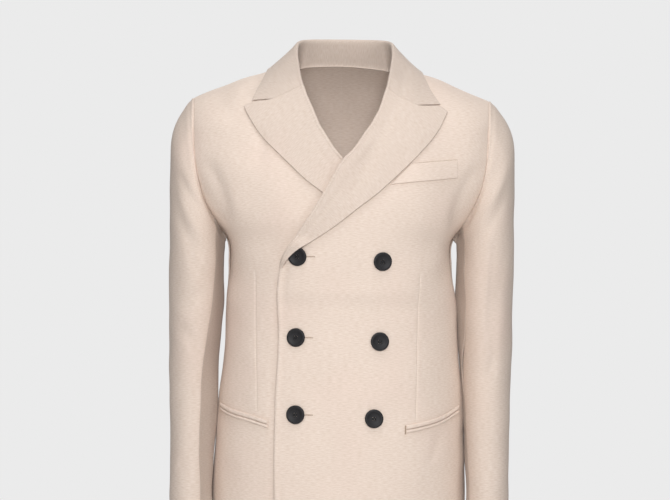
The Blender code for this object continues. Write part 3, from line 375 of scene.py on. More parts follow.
POCKETS = {
    Side.LEFT: table(
        Outline,
        (-0.5342, 0.0967), (-0.5305, 0.1174), (-0.5218, 0.1510), (-0.5096, 0.1766),
    ),
    Side.RIGHT: table(
        Outline,
        (-0.5294, -0.1004), (-0.5221, -0.1285), (-0.5160, -0.1563), (-0.5098, -0.1731),
    ),
}

BUTTON_PLACES = (
    (-0.0586, -0.2865),
    (-0.0607, -0.4031),
    (-0.0600, -0.5136),
    (0.0595, -0.2924),
    (0.0578, -0.4075),
    (0.0509, -0.5179),
)

# How light each cloth is drawn; the darker tones stand in for its shade as worn.
CLOTH_TONES = (
    ("body", 1.0), ("sleeves", 0.89), ("under_sleeves", 0.71), ("lapels", 0.885), ("collar", 0.82),
)


def column(rows: tuple, name: str) -> Array:
    """One column of a table's rows."""
    return np.array([getattr(row, name) for row in rows], dtype=float)


def smooth(rows: tuple, name: str, at: Array) -> Array:
    """Read a column of a table at places of its first column, as a smooth curve.

    Args:
        rows: the table's rows.
        name: the name of the column to read.
        at: places along the first column.

    Returns:
        The values there.
    """
    order = sorted(rows, key=lambda row: row[0])
    return smooth_values(column(order, order[0]._fields[0]), column(order, name), at)


def smooth_values(keys: Array, values: Array, at: Array) -> Array:
    """Read a smooth curve that doesn't overshoot, through points whose keys rise.

    Args:
        keys: the points' places.
        values: the points' values.
        at: where to read.

    Returns:
        The values there.
    """
    steps = np.diff(values) / np.diff(keys)
    turning = steps[1:] * steps[:-1] > 0
    inner = np.where(turning, (steps[1:] + steps[:-1]) / 2, 0.0)
    slopes = np.concatenate(([steps[0]], inner, [steps[-1]]))
    place = np.clip(at, keys[0], keys[-1])
    spot = np.clip(np.searchsorted(keys, place) - 1, 0, len(keys) - 2)
    width = keys[spot + 1] - keys[spot]
    return hermite(values, slopes, spot, width, (place - keys[spot]) / width)


def rounded(line: Array, spots: Array) -> Array:
    """Points on a round curve through a line of points.

    Args:
        line: the points.
        spots: where to read, as numbers of points along the line.

    Returns:
        The points there.
    """
    keys = np.concatenate([[0.0], np.cumsum(np.sqrt(np.maximum(spans(line, 0), 1e-9)))])
    slopes = np.gradient(line, keys, axis=0)
    spot = np.clip(spots.astype(int), 0, len(line) - 2)
    width = (keys[spot + 1] - keys[spot])[:, None]
    return hermite(line, slopes, spot, width, (spots - spot)[:, None])


def hermite(points: Array, slopes: Array, spot: Array, width: Array, share: Array) -> Array:
    """Read the cubic curve between neighbouring points that keeps their slopes.

    Args:
        points: the points.
        slopes: the curve's slope at each of them.
        spot: the number of the point before each place to read.
        width: how far the next point is from that one.
        share: how far along that width the place is.

    Returns:
        The curve there.
    """
    square, cube = share**2, share**3
    start = (2 * cube - 3 * square + 1) * points[spot]
    start = start + (cube - 2 * square + share) * width * slopes[spot]
    end = (3 * square - 2 * cube) * points[spot + 1]
    return start + end + (cube - square) * width * slopes[spot + 1]


def ease(share: Array) -> Array:
    """Rise smoothly from 0 to 1 as share does."""
    share = np.clip(share, 0.0, 1.0)
    return share * share * (3 - 2 * share)


def bump(gap: Array, width: float, place: float = 0.0) -> Array:
    """Height of a soft bump: 1 at its place, and mostly faded a width away."""
    return np.exp(-(((gap - place) / width) ** 2))


def mix(low: Array, high: Array, share: Array) -> Array:
    """Values at a share of the way from low to high."""
    return low * (1 - share) + high * share


def bezier(controls: tuple, share: Array) -> Array:
    """Read a cubic Bezier of four numbers at a share of its way."""
    rest = 1 - share
    first, second, third, fourth = controls
    outer = rest**3 * first + share**3 * fourth
    return outer + 3 * share * rest**2 * second + 3 * share**2 * rest * third


def unit(vectors: Array) -> Array:
    """Scale vectors to length one."""
    return vectors / np.linalg.norm(vectors, axis=-1, keepdims=True)


def spans(points: Array, axis: int) -> Array:
    """Distances between neighbouring points, down (0) or across (1) their grid."""
    return np.linalg.norm(np.diff(points, axis=axis), axis=-1)


def arc(points: Array) -> Array:
    """Distance along a line of points, from its first."""
    return np.concatenate([[0.0], np.cumsum(spans(points, 0))])


def graded(length: float, step: float, start: bool = True, end: bool = True) -> Array:
    """Shares from 0 to 1 along a line, closer together near its finished ends.

    Args:
        length: the line's length in metres.
        step: the usual distance between shares.
        start: whether the first end has a lip or seam.
        end: whether the last end has one.

    Returns:
        The rising shares.
    """
    near = np.array(LIP_STEPS) / length
    first = near if start else near[:1]
    last = near if end else near[:1]
    middle = np.linspace(first[-1], 1 - last[-1], max(2, round(length / step)) + 1)
    return np.concatenate([first[:-1], middle, 1 - last[:-1][::-1]])


def distance_to(points: Array, line: Array) -> Array:
    """Distance from each point to a line of points.

    Args:
        points: an array of points, in any shape.
        line: the line's points in order.

    Returns:
        The distances, in the points' shape.
    """
    flat = points.reshape(-1, 3)
    start, run = line[:-1], np.diff(line, axis=0)
    length = np.maximum(np.sum(run * run, axis=-1), 1e-12)
    nearest = np.empty(len(flat))
    for low in range(0, len(flat), POINTS_AT_ONCE):
        part = flat[low : low + POINTS_AT_ONCE, None] - start[None]
        along = np.clip(np.sum(part * run, axis=-1) / length, 0.0, 1.0)
        gap = part - along[..., None] * run
        nearest[low : low + POINTS_AT_ONCE] = np.sqrt(np.sum(gap * gap, axis=-1)).min(axis=1)
    return nearest.reshape(points.shape[:-1])


def line_point(points: list, shares: Array, share: float) -> tuple[Array, Array]:
    """Point at a share of the way along a line of points at given shares."""
    places = np.array(points)
    return np.interp(share, shares, places[:, 0]), np.interp(share, shares, places[:, 1])


def grid_normal(middle: Array) -> Array:
    """Directions square to a grid."""
    return unit(np.cross(np.gradient(middle, axis=1), np.gradient(middle, axis=0)))


@dataclass(frozen=True)
class BodyForm:
    """The smooth form that the fronts and the back lie on."""

    roundness: float = 2.3
    aspect: float = 0.62
    yoke: float = 0.100
    front_yoke: tuple = (1.0, 0.90, 0.42, 0.0)
    back_yoke: tuple = (1.0, 0.97, 0.62, 0.0)
    yoke_rise: tuple = (0.0, 0.45, 1.0, 1.0)
    under_arm: float = 20.0
    fine_step: float = 0.0002
    step: float = 0.001
    halvings: int = 30

    def section(self, over: Array) -> tuple[Array, ...]:
        """Level, centre, half width and depth of the form at a place below the shoulder.

        Args:
            over: height below the shoulder line, negative in front.

        Returns:
            The level's height, its middle, its half width and its depth.
        """
        level = np.minimum(-np.abs(over), -self.yoke)
        centre, width, front, back = (
            smooth(BODY_LEVELS, name, level) for name in Level._fields[1:]
        )
        return level, centre, width, np.where(over > 0, back, front)

    def points(self, turn: Array, over: Array) -> Array:
        """Points of the form at places turn and over."""
        turn, over = np.broadcast_arrays(np.asarray(turn, float), np.asarray(over, float))
        level, centre, width, depth = self.section(over)
        side, face = np.sin(turn), np.cos(turn) / self.aspect
        power = self.roundness
        radius = (np.abs(side) ** power + np.abs(face) ** power) ** (-1 / power)
        rise = np.clip((self.yoke - np.abs(over)) / self.yoke, 0.0, 1.0)
        x = centre + width * radius * side
        behind = over > 0
        closing = np.where(behind, bezier(self.back_yoke, rise), bezier(self.front_yoke, rise))
        y = np.where(behind, 1.0, -1.0) * depth * radius * face * closing
        ridge = smooth(SHOULDER_LINE, "z", np.abs(x))
        z = level + (ridge - level) * bezier(self.yoke_rise, rise)
        return np.stack([x, y, z], axis=-1)

    def slopes(self, turn: Array, over: Array, step: float) -> tuple[Array, Array]:
        """How the form's point moves as turn, and as over, goes from a step less to more."""
        sideways = self.points(turn + step, over) - self.points(turn - step, over)
        return sideways, self.points(turn, over + step) - self.points(turn, over - step)

    def normal(self, turn: Array, over: Array) -> Array:
        """Outward directions of the form at places turn and over."""
        return unit(np.cross(*self.slopes(turn, over, self.fine_step)))

    def nudges(self, turn: Array, over: Array, gap: float) -> list[Array]:
        """Change of turn, and change of over, that each move the form's point by a gap."""
        moves = self.slopes(turn, over, self.step)
        return [gap * 2 * self.step / np.linalg.norm(moved, axis=-1) for moved in moves]

    def turn_at(self, x: Array, over: Array) -> Array:
        """Turn of the form's point at x and over."""
        _, centre, width, _ = self.section(over)
        across = np.clip((x - centre) / width, -0.999999, 0.999999)
        face = (1 - np.abs(across) ** self.roundness) ** (1 / self.roundness)
        return np.arctan2(across, self.aspect * face)

    def place(self, x: Array, z: Array) -> tuple[Array, Array]:
        """Turn and over of the front's point at x and z, seen from ahead."""
        x, z = np.broadcast_arrays(np.asarray(x, float), np.asarray(z, float))
        low, high = np.full(z.shape, -self.yoke), np.zeros(z.shape)
        for _ in range(self.halvings):
            middle = (low + high) / 2
            below = self.points(self.turn_at(x, middle), middle)[..., 2] < z
            low = np.where(below, middle, low)
            high = np.where(below, high, middle)
        over = np.where(z < -self.yoke, z, (low + high) / 2)
        return self.turn_at(x, over), over

    def armhole(self, angle: Array) -> tuple[Array, Array]:
        """Turn and over of the left armhole's seam, by degrees from under the arm."""
        angle = np.asarray(angle, float)
        behind = angle > 180
        half = np.where(behind, 360 - angle, angle)
        over, front_x, back_x = (
            smooth(ARMHOLE_SEAM, name, half) for name in Armhole._fields[1:]
        )
        over = np.where(behind, over, -over)
        _, centre, width, _ = self.section(over)
        x = np.where(behind, back_x, front_x)
        share = np.minimum(half / self.under_arm, 1.0)
        return self.turn_at(share * x + (1 - share) * (width + centre), over), over


BODY = BodyForm()


def crease(offset: Array, run: Array, fold: Fold | SleeveFold, ends: tuple) -> Array:
    """Height of one fold, full along its middle and fading to 0 beside and past it.

    Args:
        offset: places measured from the fold's start.
        run: the vector from the fold's start to its end.
        fold: the fold's row, with its width, height and bow.
        ends: how far it runs on past its ends, and over what share it fades.

    Returns:
        The fold's height at each place.
    """
    length = np.linalg.norm(run)
    along = run / length
    place = offset @ along / length
    across = offset @ np.array([-along[1], along[0]])
    across = across - fold.bow * 4 * place * (1 - place)
    taper = ease((ends[0] + np.minimum(place, 1 - place)) / ends[1])
    return fold.height * (taper * bump(across, fold.width))


def rippled(points: Array) -> Array:
    """Height of the long low waves that soft cloth keeps everywhere."""
    height = np.zeros(points.shape[:-1])
    for wave in RIPPLES:
        turns = points @ np.array(wave[:3])
        height = height + wave.height * np.sin(2 * math.pi * turns + wave.phase)
    return height


@dataclass(frozen=True)
class Drape:
    """How the cloth of the body stands off its form: folds, overlap and seams."""

    full_x: float = 0.100
    none_x: float = 0.172
    top_z: float = -0.070
    top_fade: float = 0.055
    lapel_top_z: float = -0.102
    lapel_low_z: float = -0.362
    lapel_fade: float = 0.028
    over_lift: float = FRONT_WALL + LAY_GAP
    lapel_lift: float = TURNED_WALL + LAY_GAP + SEAM_GAP
    fold_ends: tuple = (0.15, 0.4)

    def lift(self, points: Array) -> Array:
        """How far the lapped front stands off the form, over the other front."""
        x, z = points[..., 0], points[..., 2]
        sideways = ease((self.none_x - x) / (self.none_x - self.full_x))
        below = ease((self.top_z - z) / self.top_fade)
        lapel = ease((self.lapel_top_z - z) / self.lapel_fade)
        lapel = lapel * ease((z - self.lapel_low_z) / self.lapel_fade)
        return sideways * (below * self.over_lift + lapel * self.lapel_lift)

    def relief(self, points: Array, back: Array) -> Array:
        """Height of the folds and waves at points of the form."""
        height = rippled(points)
        for fold in BODY_FOLDS:
            offset = points[..., (0, 2)] - np.array([fold.x, fold.z])
            run = np.array([fold.to_x - fold.x, fold.to_z - fold.z])
            here = back == (fold.side > 0)
            height = height + np.where(here, crease(offset, run, fold, self.fold_ends), 0.0)
        return height

    def surface(self, turn: Array, over: Array, lapped: bool, rise: float = 0.0) -> Array:
        """Points of the cloth's outer face.

        Args:
            turn: angle round the body.
            over: height below the shoulder line.
            lapped: whether the piece is the front that laps over.
            rise: extra height above the face.

        Returns:
            The points.
        """
        form = BODY.points(turn, over)
        height = rise + self.relief(form, np.asarray(over) > 0)
        if lapped:
            height = height + self.lift(form)
        return form + BODY.normal(turn, over) * height[..., None]


DRAPE = Drape()


def linear(code: str) -> tuple[float, ...]:
    """Turn an sRGB hex colour into Blender's linear colour."""
    shares = [int(code[start : start + 2], 16) / 255 for start in (0, 2, 4)]
    levels = [s / 12.92 if s <= 0.04045 else ((s + 0.055) / 1.055) ** 2.4 for s in shares]
    return (*levels, 1.0)


def add_node(tree: bpy.types.NodeTree, kind: str, links: dict | None = None, **settings):
    """Add a node, with its settings, values and links.

    Args:
        tree: the node tree.
        kind: the node's type name.
        links: for each input, by its name or number, a value, an output socket, or a
            node that stands for its first output.
        settings: the node's own settings.

    Returns:
        The node.
    """
    node = tree.nodes.new(kind)
    for name, value in settings.items():
        setattr(node, name, value)
    for name, source in (links or {}).items():
        if isinstance(source, bpy.types.Node):
            source = source.outputs[0]
        if isinstance(source, bpy.types.NodeSocket):
            tree.links.new(source, node.inputs[name])
        else:
            node.inputs[name].default_value = source
    return node


def new_finish(name: str) -> tuple[bpy.types.Material, bpy.types.NodeTree]:
    """A material with an empty node tree."""
    material = bpy.data.materials.new(name)
    material.use_nodes = True
    material.node_tree.nodes.clear()
    return material, material.node_tree


@dataclass(frozen=True)
class WoolCrepe:
    """Woven wool crepe: matt, warm beige, with short slubs lying across the cloth.

    The yarn is too fine to show, so the weave is drawn about three times as coarse. A tone below 1
    draws a darker copy of the same cloth, as painted shade.
    """

    piece: str
    # Below 1 this darkens the whole piece: painted shade for how it lies as worn.
    tone: float = 1.0
    light: str = "EBDBCF"
    dark: str = "DFCCBD"
    rosy: str = "E9D3C8"
    slub: tuple = (0.0074, 0.0011)
    slub_span: tuple = (0.36, 0.66)
    weave: tuple = (0.0011, 0.0009)
    weave_span: tuple = (0.3, 0.7)
    shade: float = 0.02
    tint_scale: float = 9.0
    tint_span: tuple = (0.50, 0.90)
    roughness: float = 0.9
    slub_depth: float = 0.00012
    weave_depth: float = 0.00008

    def make(self) -> bpy.types.Material:
        """Build the cloth's material."""
        material, tree = new_finish(f"wool_crepe_{self.piece}")
        uv = add_node(tree, "ShaderNodeUVMap", uv_map=CLOTH_UV)
        spots = []
        for across, along in (self.slub, self.weave):
            scale = (1 / across, 1 / along, 1.0)
            place = add_node(tree, "ShaderNodeMapping", {"Vector": uv, "Scale": scale})
            noise = {"Vector": place, "Scale": 1.0, "Detail": 2.0}
            spots.append(add_node(tree, "ShaderNodeTexNoise", noise))
        slub, weave = spots
        where = add_node(tree, "ShaderNodeTexCoord").outputs["Object"]
        noise = {"Vector": where, "Scale": self.tint_scale, "Detail": 1.0}
        tint = add_node(tree, "ShaderNodeTexNoise", noise)
        colour = linear(self.light)
        for value, span, second in (
            (tint, self.tint_span, self.rosy), (slub, self.slub_span, self.dark),
        ):
            factor = add_node(
                tree, "ShaderNodeMapRange",
                {"Value": value, "From Min": span[0], "From Max": span[1]},
            )
            colour = add_node(
                tree, "ShaderNodeMix", {"Factor": factor, 6: colour, 7: linear(second)},
                data_type="RGBA",
            ).outputs[2]
        # Each thread's lightness, scaled by the tone, which below 1 is painted shade.
        thread = add_node(
            tree, "ShaderNodeMapRange",
            {"Value": weave, "From Min": self.weave_span[0], "From Max": self.weave_span[1],
             "To Min": self.tone * (1 - self.shade), "To Max": self.tone * (1 + self.shade)},
        )
        toned = add_node(
            tree, "ShaderNodeVectorMath", {0: colour, "Scale": thread}, operation="SCALE"
        )
        relief = {"Height": weave, "Strength": 1.0, "Distance": self.weave_depth}
        low = add_node(tree, "ShaderNodeBump", relief)
        relief = {"Height": slub, "Strength": 1.0, "Distance": self.slub_depth, "Normal": low}
        high = add_node(tree, "ShaderNodeBump", relief)
        shader = add_node(
            tree, "ShaderNodeBsdfPrincipled",
            {"Base Color": toned, "Roughness": self.roughness, "Specular IOR Level": 0.25,
             "Sheen Weight": 0.12, "Sheen Roughness": 0.5, "Normal": high},
        )
        add_node(tree, "ShaderNodeOutputMaterial", {"Surface": shader})
        return material


@dataclass(frozen=True)
class Mottled:
    """A finish of two close colours, in soft spots as many a metre as its scale."""

    name: str
    colour: str
    second: str
    scale: float
    detail: float
    roughness: float
    distortion: float = 0.0
    specular: float = 0.5
    sheen: float = 0.0

    def make(self) -> bpy.types.Material:
        """Build the material."""
        material, tree = new_finish(self.name)
        noise = add_node(
            tree, "ShaderNodeTexNoise",
            {"Vector": add_node(tree, "ShaderNodeTexCoord").outputs["Object"],
             "Scale": self.scale, "Detail": self.detail, "Distortion": self.distortion},
        )
        colour = add_node(
            tree, "ShaderNodeMix",
            {"Factor": noise, 6: linear(self.colour), 7: linear(self.second)},
            data_type="RGBA",
        )
        shader = add_node(
            tree, "ShaderNodeBsdfPrincipled",
            {"Base Color": colour.outputs[2], "Roughness": self.roughness,
             "Specular IOR Level": self.specular, "Sheen Weight": self.sheen},
        )
        add_node(tree, "ShaderNodeOutputMaterial", {"Surface": shader})
        return material


@dataclass(frozen=True)
class PolishedResin(Mottled):
    """Cast polyester button resin: charcoal, faintly clouded, with a soft polish."""

    name: str = "polyester_resin_charcoal"
    colour: str = "262528"
    second: str = "1B1A1C"
    scale: float = 1 / 0.006
    detail: float = 3.0
    roughness: float = 0.52
    distortion: float = 0.8
    specular: float = 0.3


@dataclass(frozen=True)
class SewingThread(Mottled):
    """Spun polyester thread: matt, twisted, slightly darker in its grooves."""

    scale: float = 1 / 0.0006
    detail: float = 1.0
    roughness: float = 0.8
    sheen: float = 0.1


@dataclass(frozen=True)
class PaperFloor(Mottled):
    """Matt background paper, almost white, with a faint unevenness."""

    name: str = "background_paper"
    colour: str = "EDECEB"
    second: str = "E9E8E7"
    scale: float = 3.0
    detail: float = 2.0
    roughness: float = 0.95


def add_object(name: str, data: bpy.types.ID) -> bpy.types.Object:
    """Put a named object into the scene."""
    item = bpy.data.objects.new(name, data)
    bpy.context.scene.collection.objects.link(item)
    return item


def link_piece(name: str, mesh: bpy.types.Mesh, finish: bpy.types.Material):
    """Put a mesh into the scene as a named piece with its finish."""
    mesh.materials.clear()
    mesh.materials.append(finish)
    return add_object(name, mesh)


def to_mesh(name: str, shape: bmesh.types.BMesh) -> bpy.types.Mesh:
    """Turn a finished bmesh into a mesh."""
    mesh = bpy.data.meshes.new(name)
    shape.to_mesh(mesh)
    shape.free()
    return mesh


def baked(*items: bpy.types.Object) -> bpy.types.Mesh:
    """The smooth mesh that the first object shows, once all the objects are removed."""
    bpy.context.view_layer.update()
    shown = items[0].evaluated_get(bpy.context.evaluated_depsgraph_get())
    mesh = bpy.data.meshes.new_from_object(shown)
    for item in items:
        bpy.data.objects.remove(item)
    mesh.shade_smooth()
    return mesh


def declare(piece: bpy.types.Object, nodes: tuple = ()) -> None:
    """Fix a piece to the blazer's one body, and hide the nodes it replaces."""
    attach(piece, "root")
    if nodes:
        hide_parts(*nodes)
    LOG.info("%s: %d polygons", piece.name, len(piece.data.polygons))


@dataclass
class ClothWall:
    """A closed thin wall of cloth between two matching grids of points.

    edges are the finishes of the first row, last row, first column and last column.
    """

    name: str
    face: Array
    normal: Array
    wall: float
    edges: tuple[Edge, Edge, Edge, Edge]
    grooves: tuple = ()
    notch_column: int = 0
    seam: tuple = (0.0005, 0.0011)
    flush: tuple = (0.00022, 0.0007)
    least_share: float = 0.3
    groove_share: float = 0.6

    def borders(self) -> list[Array]:
        """The grid's four border lines, in the order of edges."""
        return [self.face[0], self.face[-1], self.face[:, 0], self.face[:, -1]]

    def dip(self, line: Array, depth: float, width: float) -> Array:
        """Depth over the grid of a soft dip along a line."""
        return depth * bump(distance_to(self.face, line), width)

    def walls(self) -> tuple[Array, Array]:
        """Outer and inner grids, with the lips, seams and grooves worked in."""
        top = np.zeros(self.face.shape[:2])
        bottom = np.full(self.face.shape[:2], self.wall)
        half = self.wall / 2
        for edge, line in zip(self.edges, self.borders()):
            if edge is Edge.GORGE:
                top = np.maximum(top, self.dip(line[: self.notch_column + 1], *self.flush))
                line = line[self.notch_column :]
            if edge is Edge.SEAMED:
                top = np.maximum(top, self.dip(line, *self.seam))
            elif edge is not Edge.BURIED:
                share = np.clip(1 - distance_to(self.face, line) / half, 0.0, 1.0)
                pinch = half * (1 - np.sqrt(1 - share**2)) * (1 - self.least_share)
                top = np.maximum(top, pinch)
                bottom = np.minimum(bottom, self.wall - pinch)
        for line, depth, width in self.grooves:
            groove = self.dip(line, depth, width)
            top = top + groove
            bottom = bottom + groove * self.groove_share
        outer = self.face - self.normal * top[..., None]
        return outer, self.face - self.normal * bottom[..., None]

    def build(self) -> bpy.types.Mesh:
        """Make the wall's mesh, with its UV map in metres along the cloth."""
        outer, inner = self.walls()
        rows, columns = outer.shape[:2]
        count = rows * columns
        place = np.arange(count).reshape(rows, columns)
        quads = np.stack(
            [place[:-1, :-1], place[:-1, 1:], place[1:, 1:], place[1:, :-1]], axis=-1
        ).reshape(-1, 4)
        rim = np.concatenate([place[0, :-1], place[:-1, -1], place[-1, :0:-1], place[:0:-1, 0]])
        after = np.roll(rim, -1)
        border = np.stack([after, rim, rim + count, after + count], axis=-1)
        faces = np.concatenate([quads, quads[:, ::-1] + count, border])
        row, column_number = rows // 2, columns // 2
        middle = outer[row, column_number]
        sideways = outer[row, column_number + 1] - middle
        upwards = outer[row + 1, column_number] - middle
        if np.dot(np.cross(sideways, upwards), middle - inner[row, column_number]) < 0:
            faces = faces[:, ::-1]
        points = np.concatenate([outer.reshape(-1, 3), inner.reshape(-1, 3)])
        mesh = bpy.data.meshes.new(self.name)
        mesh.from_pydata(points.tolist(), [], faces.tolist())
        mesh.update()
        self.lay_uv(mesh, faces, count)
        mesh.shade_smooth()
        return mesh

    def lay_uv(self, mesh: bpy.types.Mesh, faces: Array, count: int) -> None:
        """Lay the UV map: across the cloth and along it, in metres."""
        across, along = np.zeros((2, *self.face.shape[:2]))
        across[:, 1:] = np.cumsum(spans(self.face, 1), axis=1)
        across -= across[:, across.shape[1] // 2, None]
        along[1:] = np.cumsum(spans(self.face, 0), axis=0)
        if self.face[0, :, 2].mean() > self.face[-1, :, 2].mean():
            along = along[-1] - along
        spots = np.stack([across.ravel(), along.ravel()], axis=-1)
        layer = mesh.uv_layers.new(name=CLOTH_UV)
        layer.data.foreach_set("uv", spots[faces.ravel() % count].ravel())

    def size(self) -> tuple[float, float, float]:
        """Greatest width and length of the cloth, and its area."""
        across = np.diff(self.face, axis=1)[:-1]
        along = np.diff(self.face, axis=0)[:, :-1]
        area = np.linalg.norm(np.cross(across, along), axis=-1).sum()
        width = spans(self.face, 1).sum(axis=1).max()
        return float(width), float(spans(self.face, 0).sum(axis=0).max()), float(area)

    def hang(self, finish: bpy.types.Material, *rests: str) -> None:
        """Build the cloth as the piece that stands for its node, and state its cut.

        Args:
            finish: its material.
            rests: what it lies on or hangs from. Not used.
        """
        piece = link_piece(f"{self.name}_cloth", self.build(), finish)
        LOG.info("%s measures %.3f x %.3f m, %.4f m2", self.name, *self.size())
        declare(piece, (self.name,))


def side_rows(behind: bool, step: float, count: int, last: tuple) -> tuple[Array, Array]:
    """Over of a panel's rows from hem to shoulder, and the turns of its outer edge.

    Args:
        behind: whether the panel is a back.
        step: distance between the rows below the armhole.
        count: the number of rows beside it, but for the last few.
        last: the armhole angles of those, up to the shoulder.

    Returns:
        The over values and the turns.
    """
    length = HEM_OVER - ARMHOLE_OVER
    below = HEM_OVER - length * graded(length, step, end=False)[:-1]
    angles = np.concatenate([np.linspace(0, 177.3, count), last])
    edge_turn, edge_over = BODY.armhole(360 - angles if behind else angles)
    over = np.concatenate([below if behind else -below, edge_over])
    turn = np.concatenate([np.full(below.shape, SIDE_TURN), edge_turn])
    low = np.abs(over) > ARMHOLE_OVER - 0.001
    return over, turn - np.where(low, BODY.nudges(turn, over, HALF_GAP)[0], 0.0)


@dataclass
class Front:
    """One front, from its hem to the shoulder seam, with its dart."""

    side: Side
    edge_x: float
    roll: tuple
    roll_inset: float = 0.0026
    break_z: float = -0.303
    break_fade: float = 0.030
    straight_z: float = -0.420
    step: float = 0.0045
    widths: tuple = (0.22, 0.15)
    armhole_rows: int = 66
    top_angles: tuple = (178.6, 179.3, 179.6, 179.8, 180.0)
    dart: tuple = (0.0006, 0.0012)
    lip_reach: float = 0.0042
    lip_drop: float = 0.0014
    bead: tuple = (0.0014, 0.0036, 0.0018)
    hollow: tuple = (-0.0022, 0.0095, 0.0040)
    hollow_z: float = -0.400
    hollow_fade: float = 0.080
    edge_top: float = 0.010
    edge_fade: float = 0.020
    nest_depth: float = 0.0030
    nest_width: float = 0.0060

    @property
    def lapped(self) -> bool:
        """Whether this is the front that laps over."""
        return self.side is Side.LEFT

    def turned_share(self, z: float) -> float:
        """Share of the roll's full fold at a height: none at the break."""
        return float(ease((z - self.break_z) / self.break_fade))

    def inner_edge(self, over: Array) -> Array:
        """Turns of the inner edge: front edge, roll line and neck seam."""
        sign = self.side.value
        inset = [
            Outline(row.z, row.x + sign * self.roll_inset * self.turned_share(row.z))
            for row in self.roll
        ]
        rows = [Outline(-HEM_OVER, self.edge_x), Outline(self.straight_z, self.edge_x)]
        rows += sorted(inset, key=lambda row: row.z)
        turn, place = BODY.place(column(rows, "x"), column(rows, "z"))
        neck = [row for row in COLLAR_SECTIONS if row.neck_over <= 0]
        neck_over = column(neck, "neck_over")
        neck_turn = BODY.turn_at(NECK_CENTRE_X + sign * column(neck, "neck_x"), neck_over)
        keys = np.concatenate([place, neck_over])
        return smooth_values(keys, np.concatenate([turn, neck_turn]), over)

    def dart_share(self, over: Array, inner: Array, outer: Array) -> Array:
        """Share of the way across each row at which the dart's line lies."""
        (top_z, top_x), (low_z, low_x) = DARTS[self.side]
        reach = np.clip((over - low_z) / (top_z - low_z), 0.0, 1.0)
        held = np.clip(over, low_z, top_z)
        turn = BODY.turn_at(low_x + (top_x - low_x) * reach, held)
        share = (turn - inner) / (outer - inner)
        return np.where(over > top_z, np.interp(top_z, over, share), share)

    def grid(self) -> tuple[Array, Array]:
        """Turn and over of the panel's points, in columns that close in on the dart."""
        over, outer = side_rows(False, self.step, self.armhole_rows, self.top_angles)
        inner = self.inner_edge(over)
        outer = outer * self.side.value
        dart = self.dart_share(over, inner, outer)[:, None]
        first, last = (graded(width, self.step) for width in self.widths)
        share = np.concatenate([dart * first[None], dart + (1 - dart) * last[None, 1:]], axis=1)
        turn = mix(inner[:, None], outer[:, None], share)
        place = np.repeat(over[:, None], share.shape[1], axis=1)
        place[-1] -= BODY.nudges(turn[-1], place[-1], HALF_GAP)[1]
        return turn, place

    def edge_line(self) -> Array:
        """Points down the visible part of the inner edge."""
        over = np.linspace(-0.170, -HEM_OVER, 120)
        return DRAPE.surface(self.inner_edge(over), over, self.lapped)

    def edge_relief(self, face: Array) -> Array:
        """Height of the cloth by the lapping edge: its lip, bead and hollow, or its nest."""
        if not self.lapped:
            line = FRONTS[Side.LEFT].edge_line()
            return -self.nest_depth * bump(distance_to(face, line), self.nest_width)
        gap = np.linalg.norm(face - face[:, :1], axis=-1)
        z = face[:, :1, 2]
        share = np.clip(1 - gap / self.lip_reach, 0.0, 1.0)
        height = -self.lip_drop * (1 - np.sqrt(1 - share**2))
        near_break = ease((z - self.hollow_z) / self.hollow_fade)
        for (rise, place, width), strength in ((self.bead, 1.0), (self.hollow, near_break)):
            height = height + rise * strength * bump(gap, width, place)
        return height * ease((self.break_z + self.edge_top - z) / self.edge_fade)

    def build(self, finish: bpy.types.Material) -> None:
        """Make the front."""
        turn, over = self.grid()
        face = DRAPE.surface(turn, over, self.lapped)
        normal = BODY.normal(turn, over)
        rows = DARTS[self.side][::-1]
        dart_z = np.linspace(rows[0].z, rows[1].z, 40)
        dart_x = np.interp(dart_z, column(rows, "z"), column(rows, "x"))
        wall = ClothWall(
            f"front_{self.side.word}",
            face + normal * self.edge_relief(face)[..., None],
            normal,
            FRONT_WALL,
            (Edge.TURNED, Edge.SEAMED, Edge.TURNED, Edge.SEAMED),
            ((DRAPE.surface(*BODY.place(dart_x, dart_z), self.lapped), *self.dart),),
        )
        wall.hang(finish, f"back_{self.side.word}", f"sleeve_top_{self.side.word}")


FRONTS = {
    Side.LEFT: Front(Side.LEFT, -0.0872, OVER_ROLL),
    Side.RIGHT: Front(Side.RIGHT, 0.0930, UNDER_ROLL),
}


def neck_top(x: Array) -> Array:
    """Over of the back's top edge: the neck seam, then the shoulder seam."""
    rows = [row for row in COLLAR_SECTIONS if row.neck_over >= 0][::-1]
    keys = column(rows, "neck_x")
    reach = np.abs(x - NECK_CENTRE_X)
    return np.where(reach < keys[-1], smooth_values(keys, column(rows, "neck_over"), reach), 0.0)


@dataclass
class Back:
    """One half of the back, from the hem to the neck and shoulder seams."""

    side: Side
    step: float = 0.0048
    width: float = 0.27
    armhole_rows: int = 60
    top_angles: tuple = (178.6, 179.3, 179.7, 180.0)

    def build(self, finish: bpy.types.Material) -> None:
        """Make the half back."""
        over, outer = side_rows(True, self.step, self.armhole_rows, self.top_angles)
        inner = BODY.nudges(np.zeros(over.shape), over, HALF_GAP)[0]
        share = graded(self.width, self.step)[None, :]
        turn = self.side.value * mix(inner[:, None], outer[:, None], share)
        none = np.zeros(turn.shape[1])
        top_x = BODY.points(turn[-1], none)[..., 0]
        top = neck_top(top_x) + BODY.nudges(turn[-1], none, HALF_GAP)[1]
        fade = np.clip(1 - over / BODY.yoke, 0.0, 1.0)
        place = over[:, None] + top[None, :] * fade[:, None]
        wall = ClothWall(
            f"back_{self.side.word}",
            DRAPE.surface(turn, place, False),
            BODY.normal(turn, place),
            BACK_WALL,
            (Edge.TURNED, Edge.SEAMED, Edge.SEAMED, Edge.SEAMED),
        )
        wall.hang(finish, f"front_{self.side.word}", "collar")


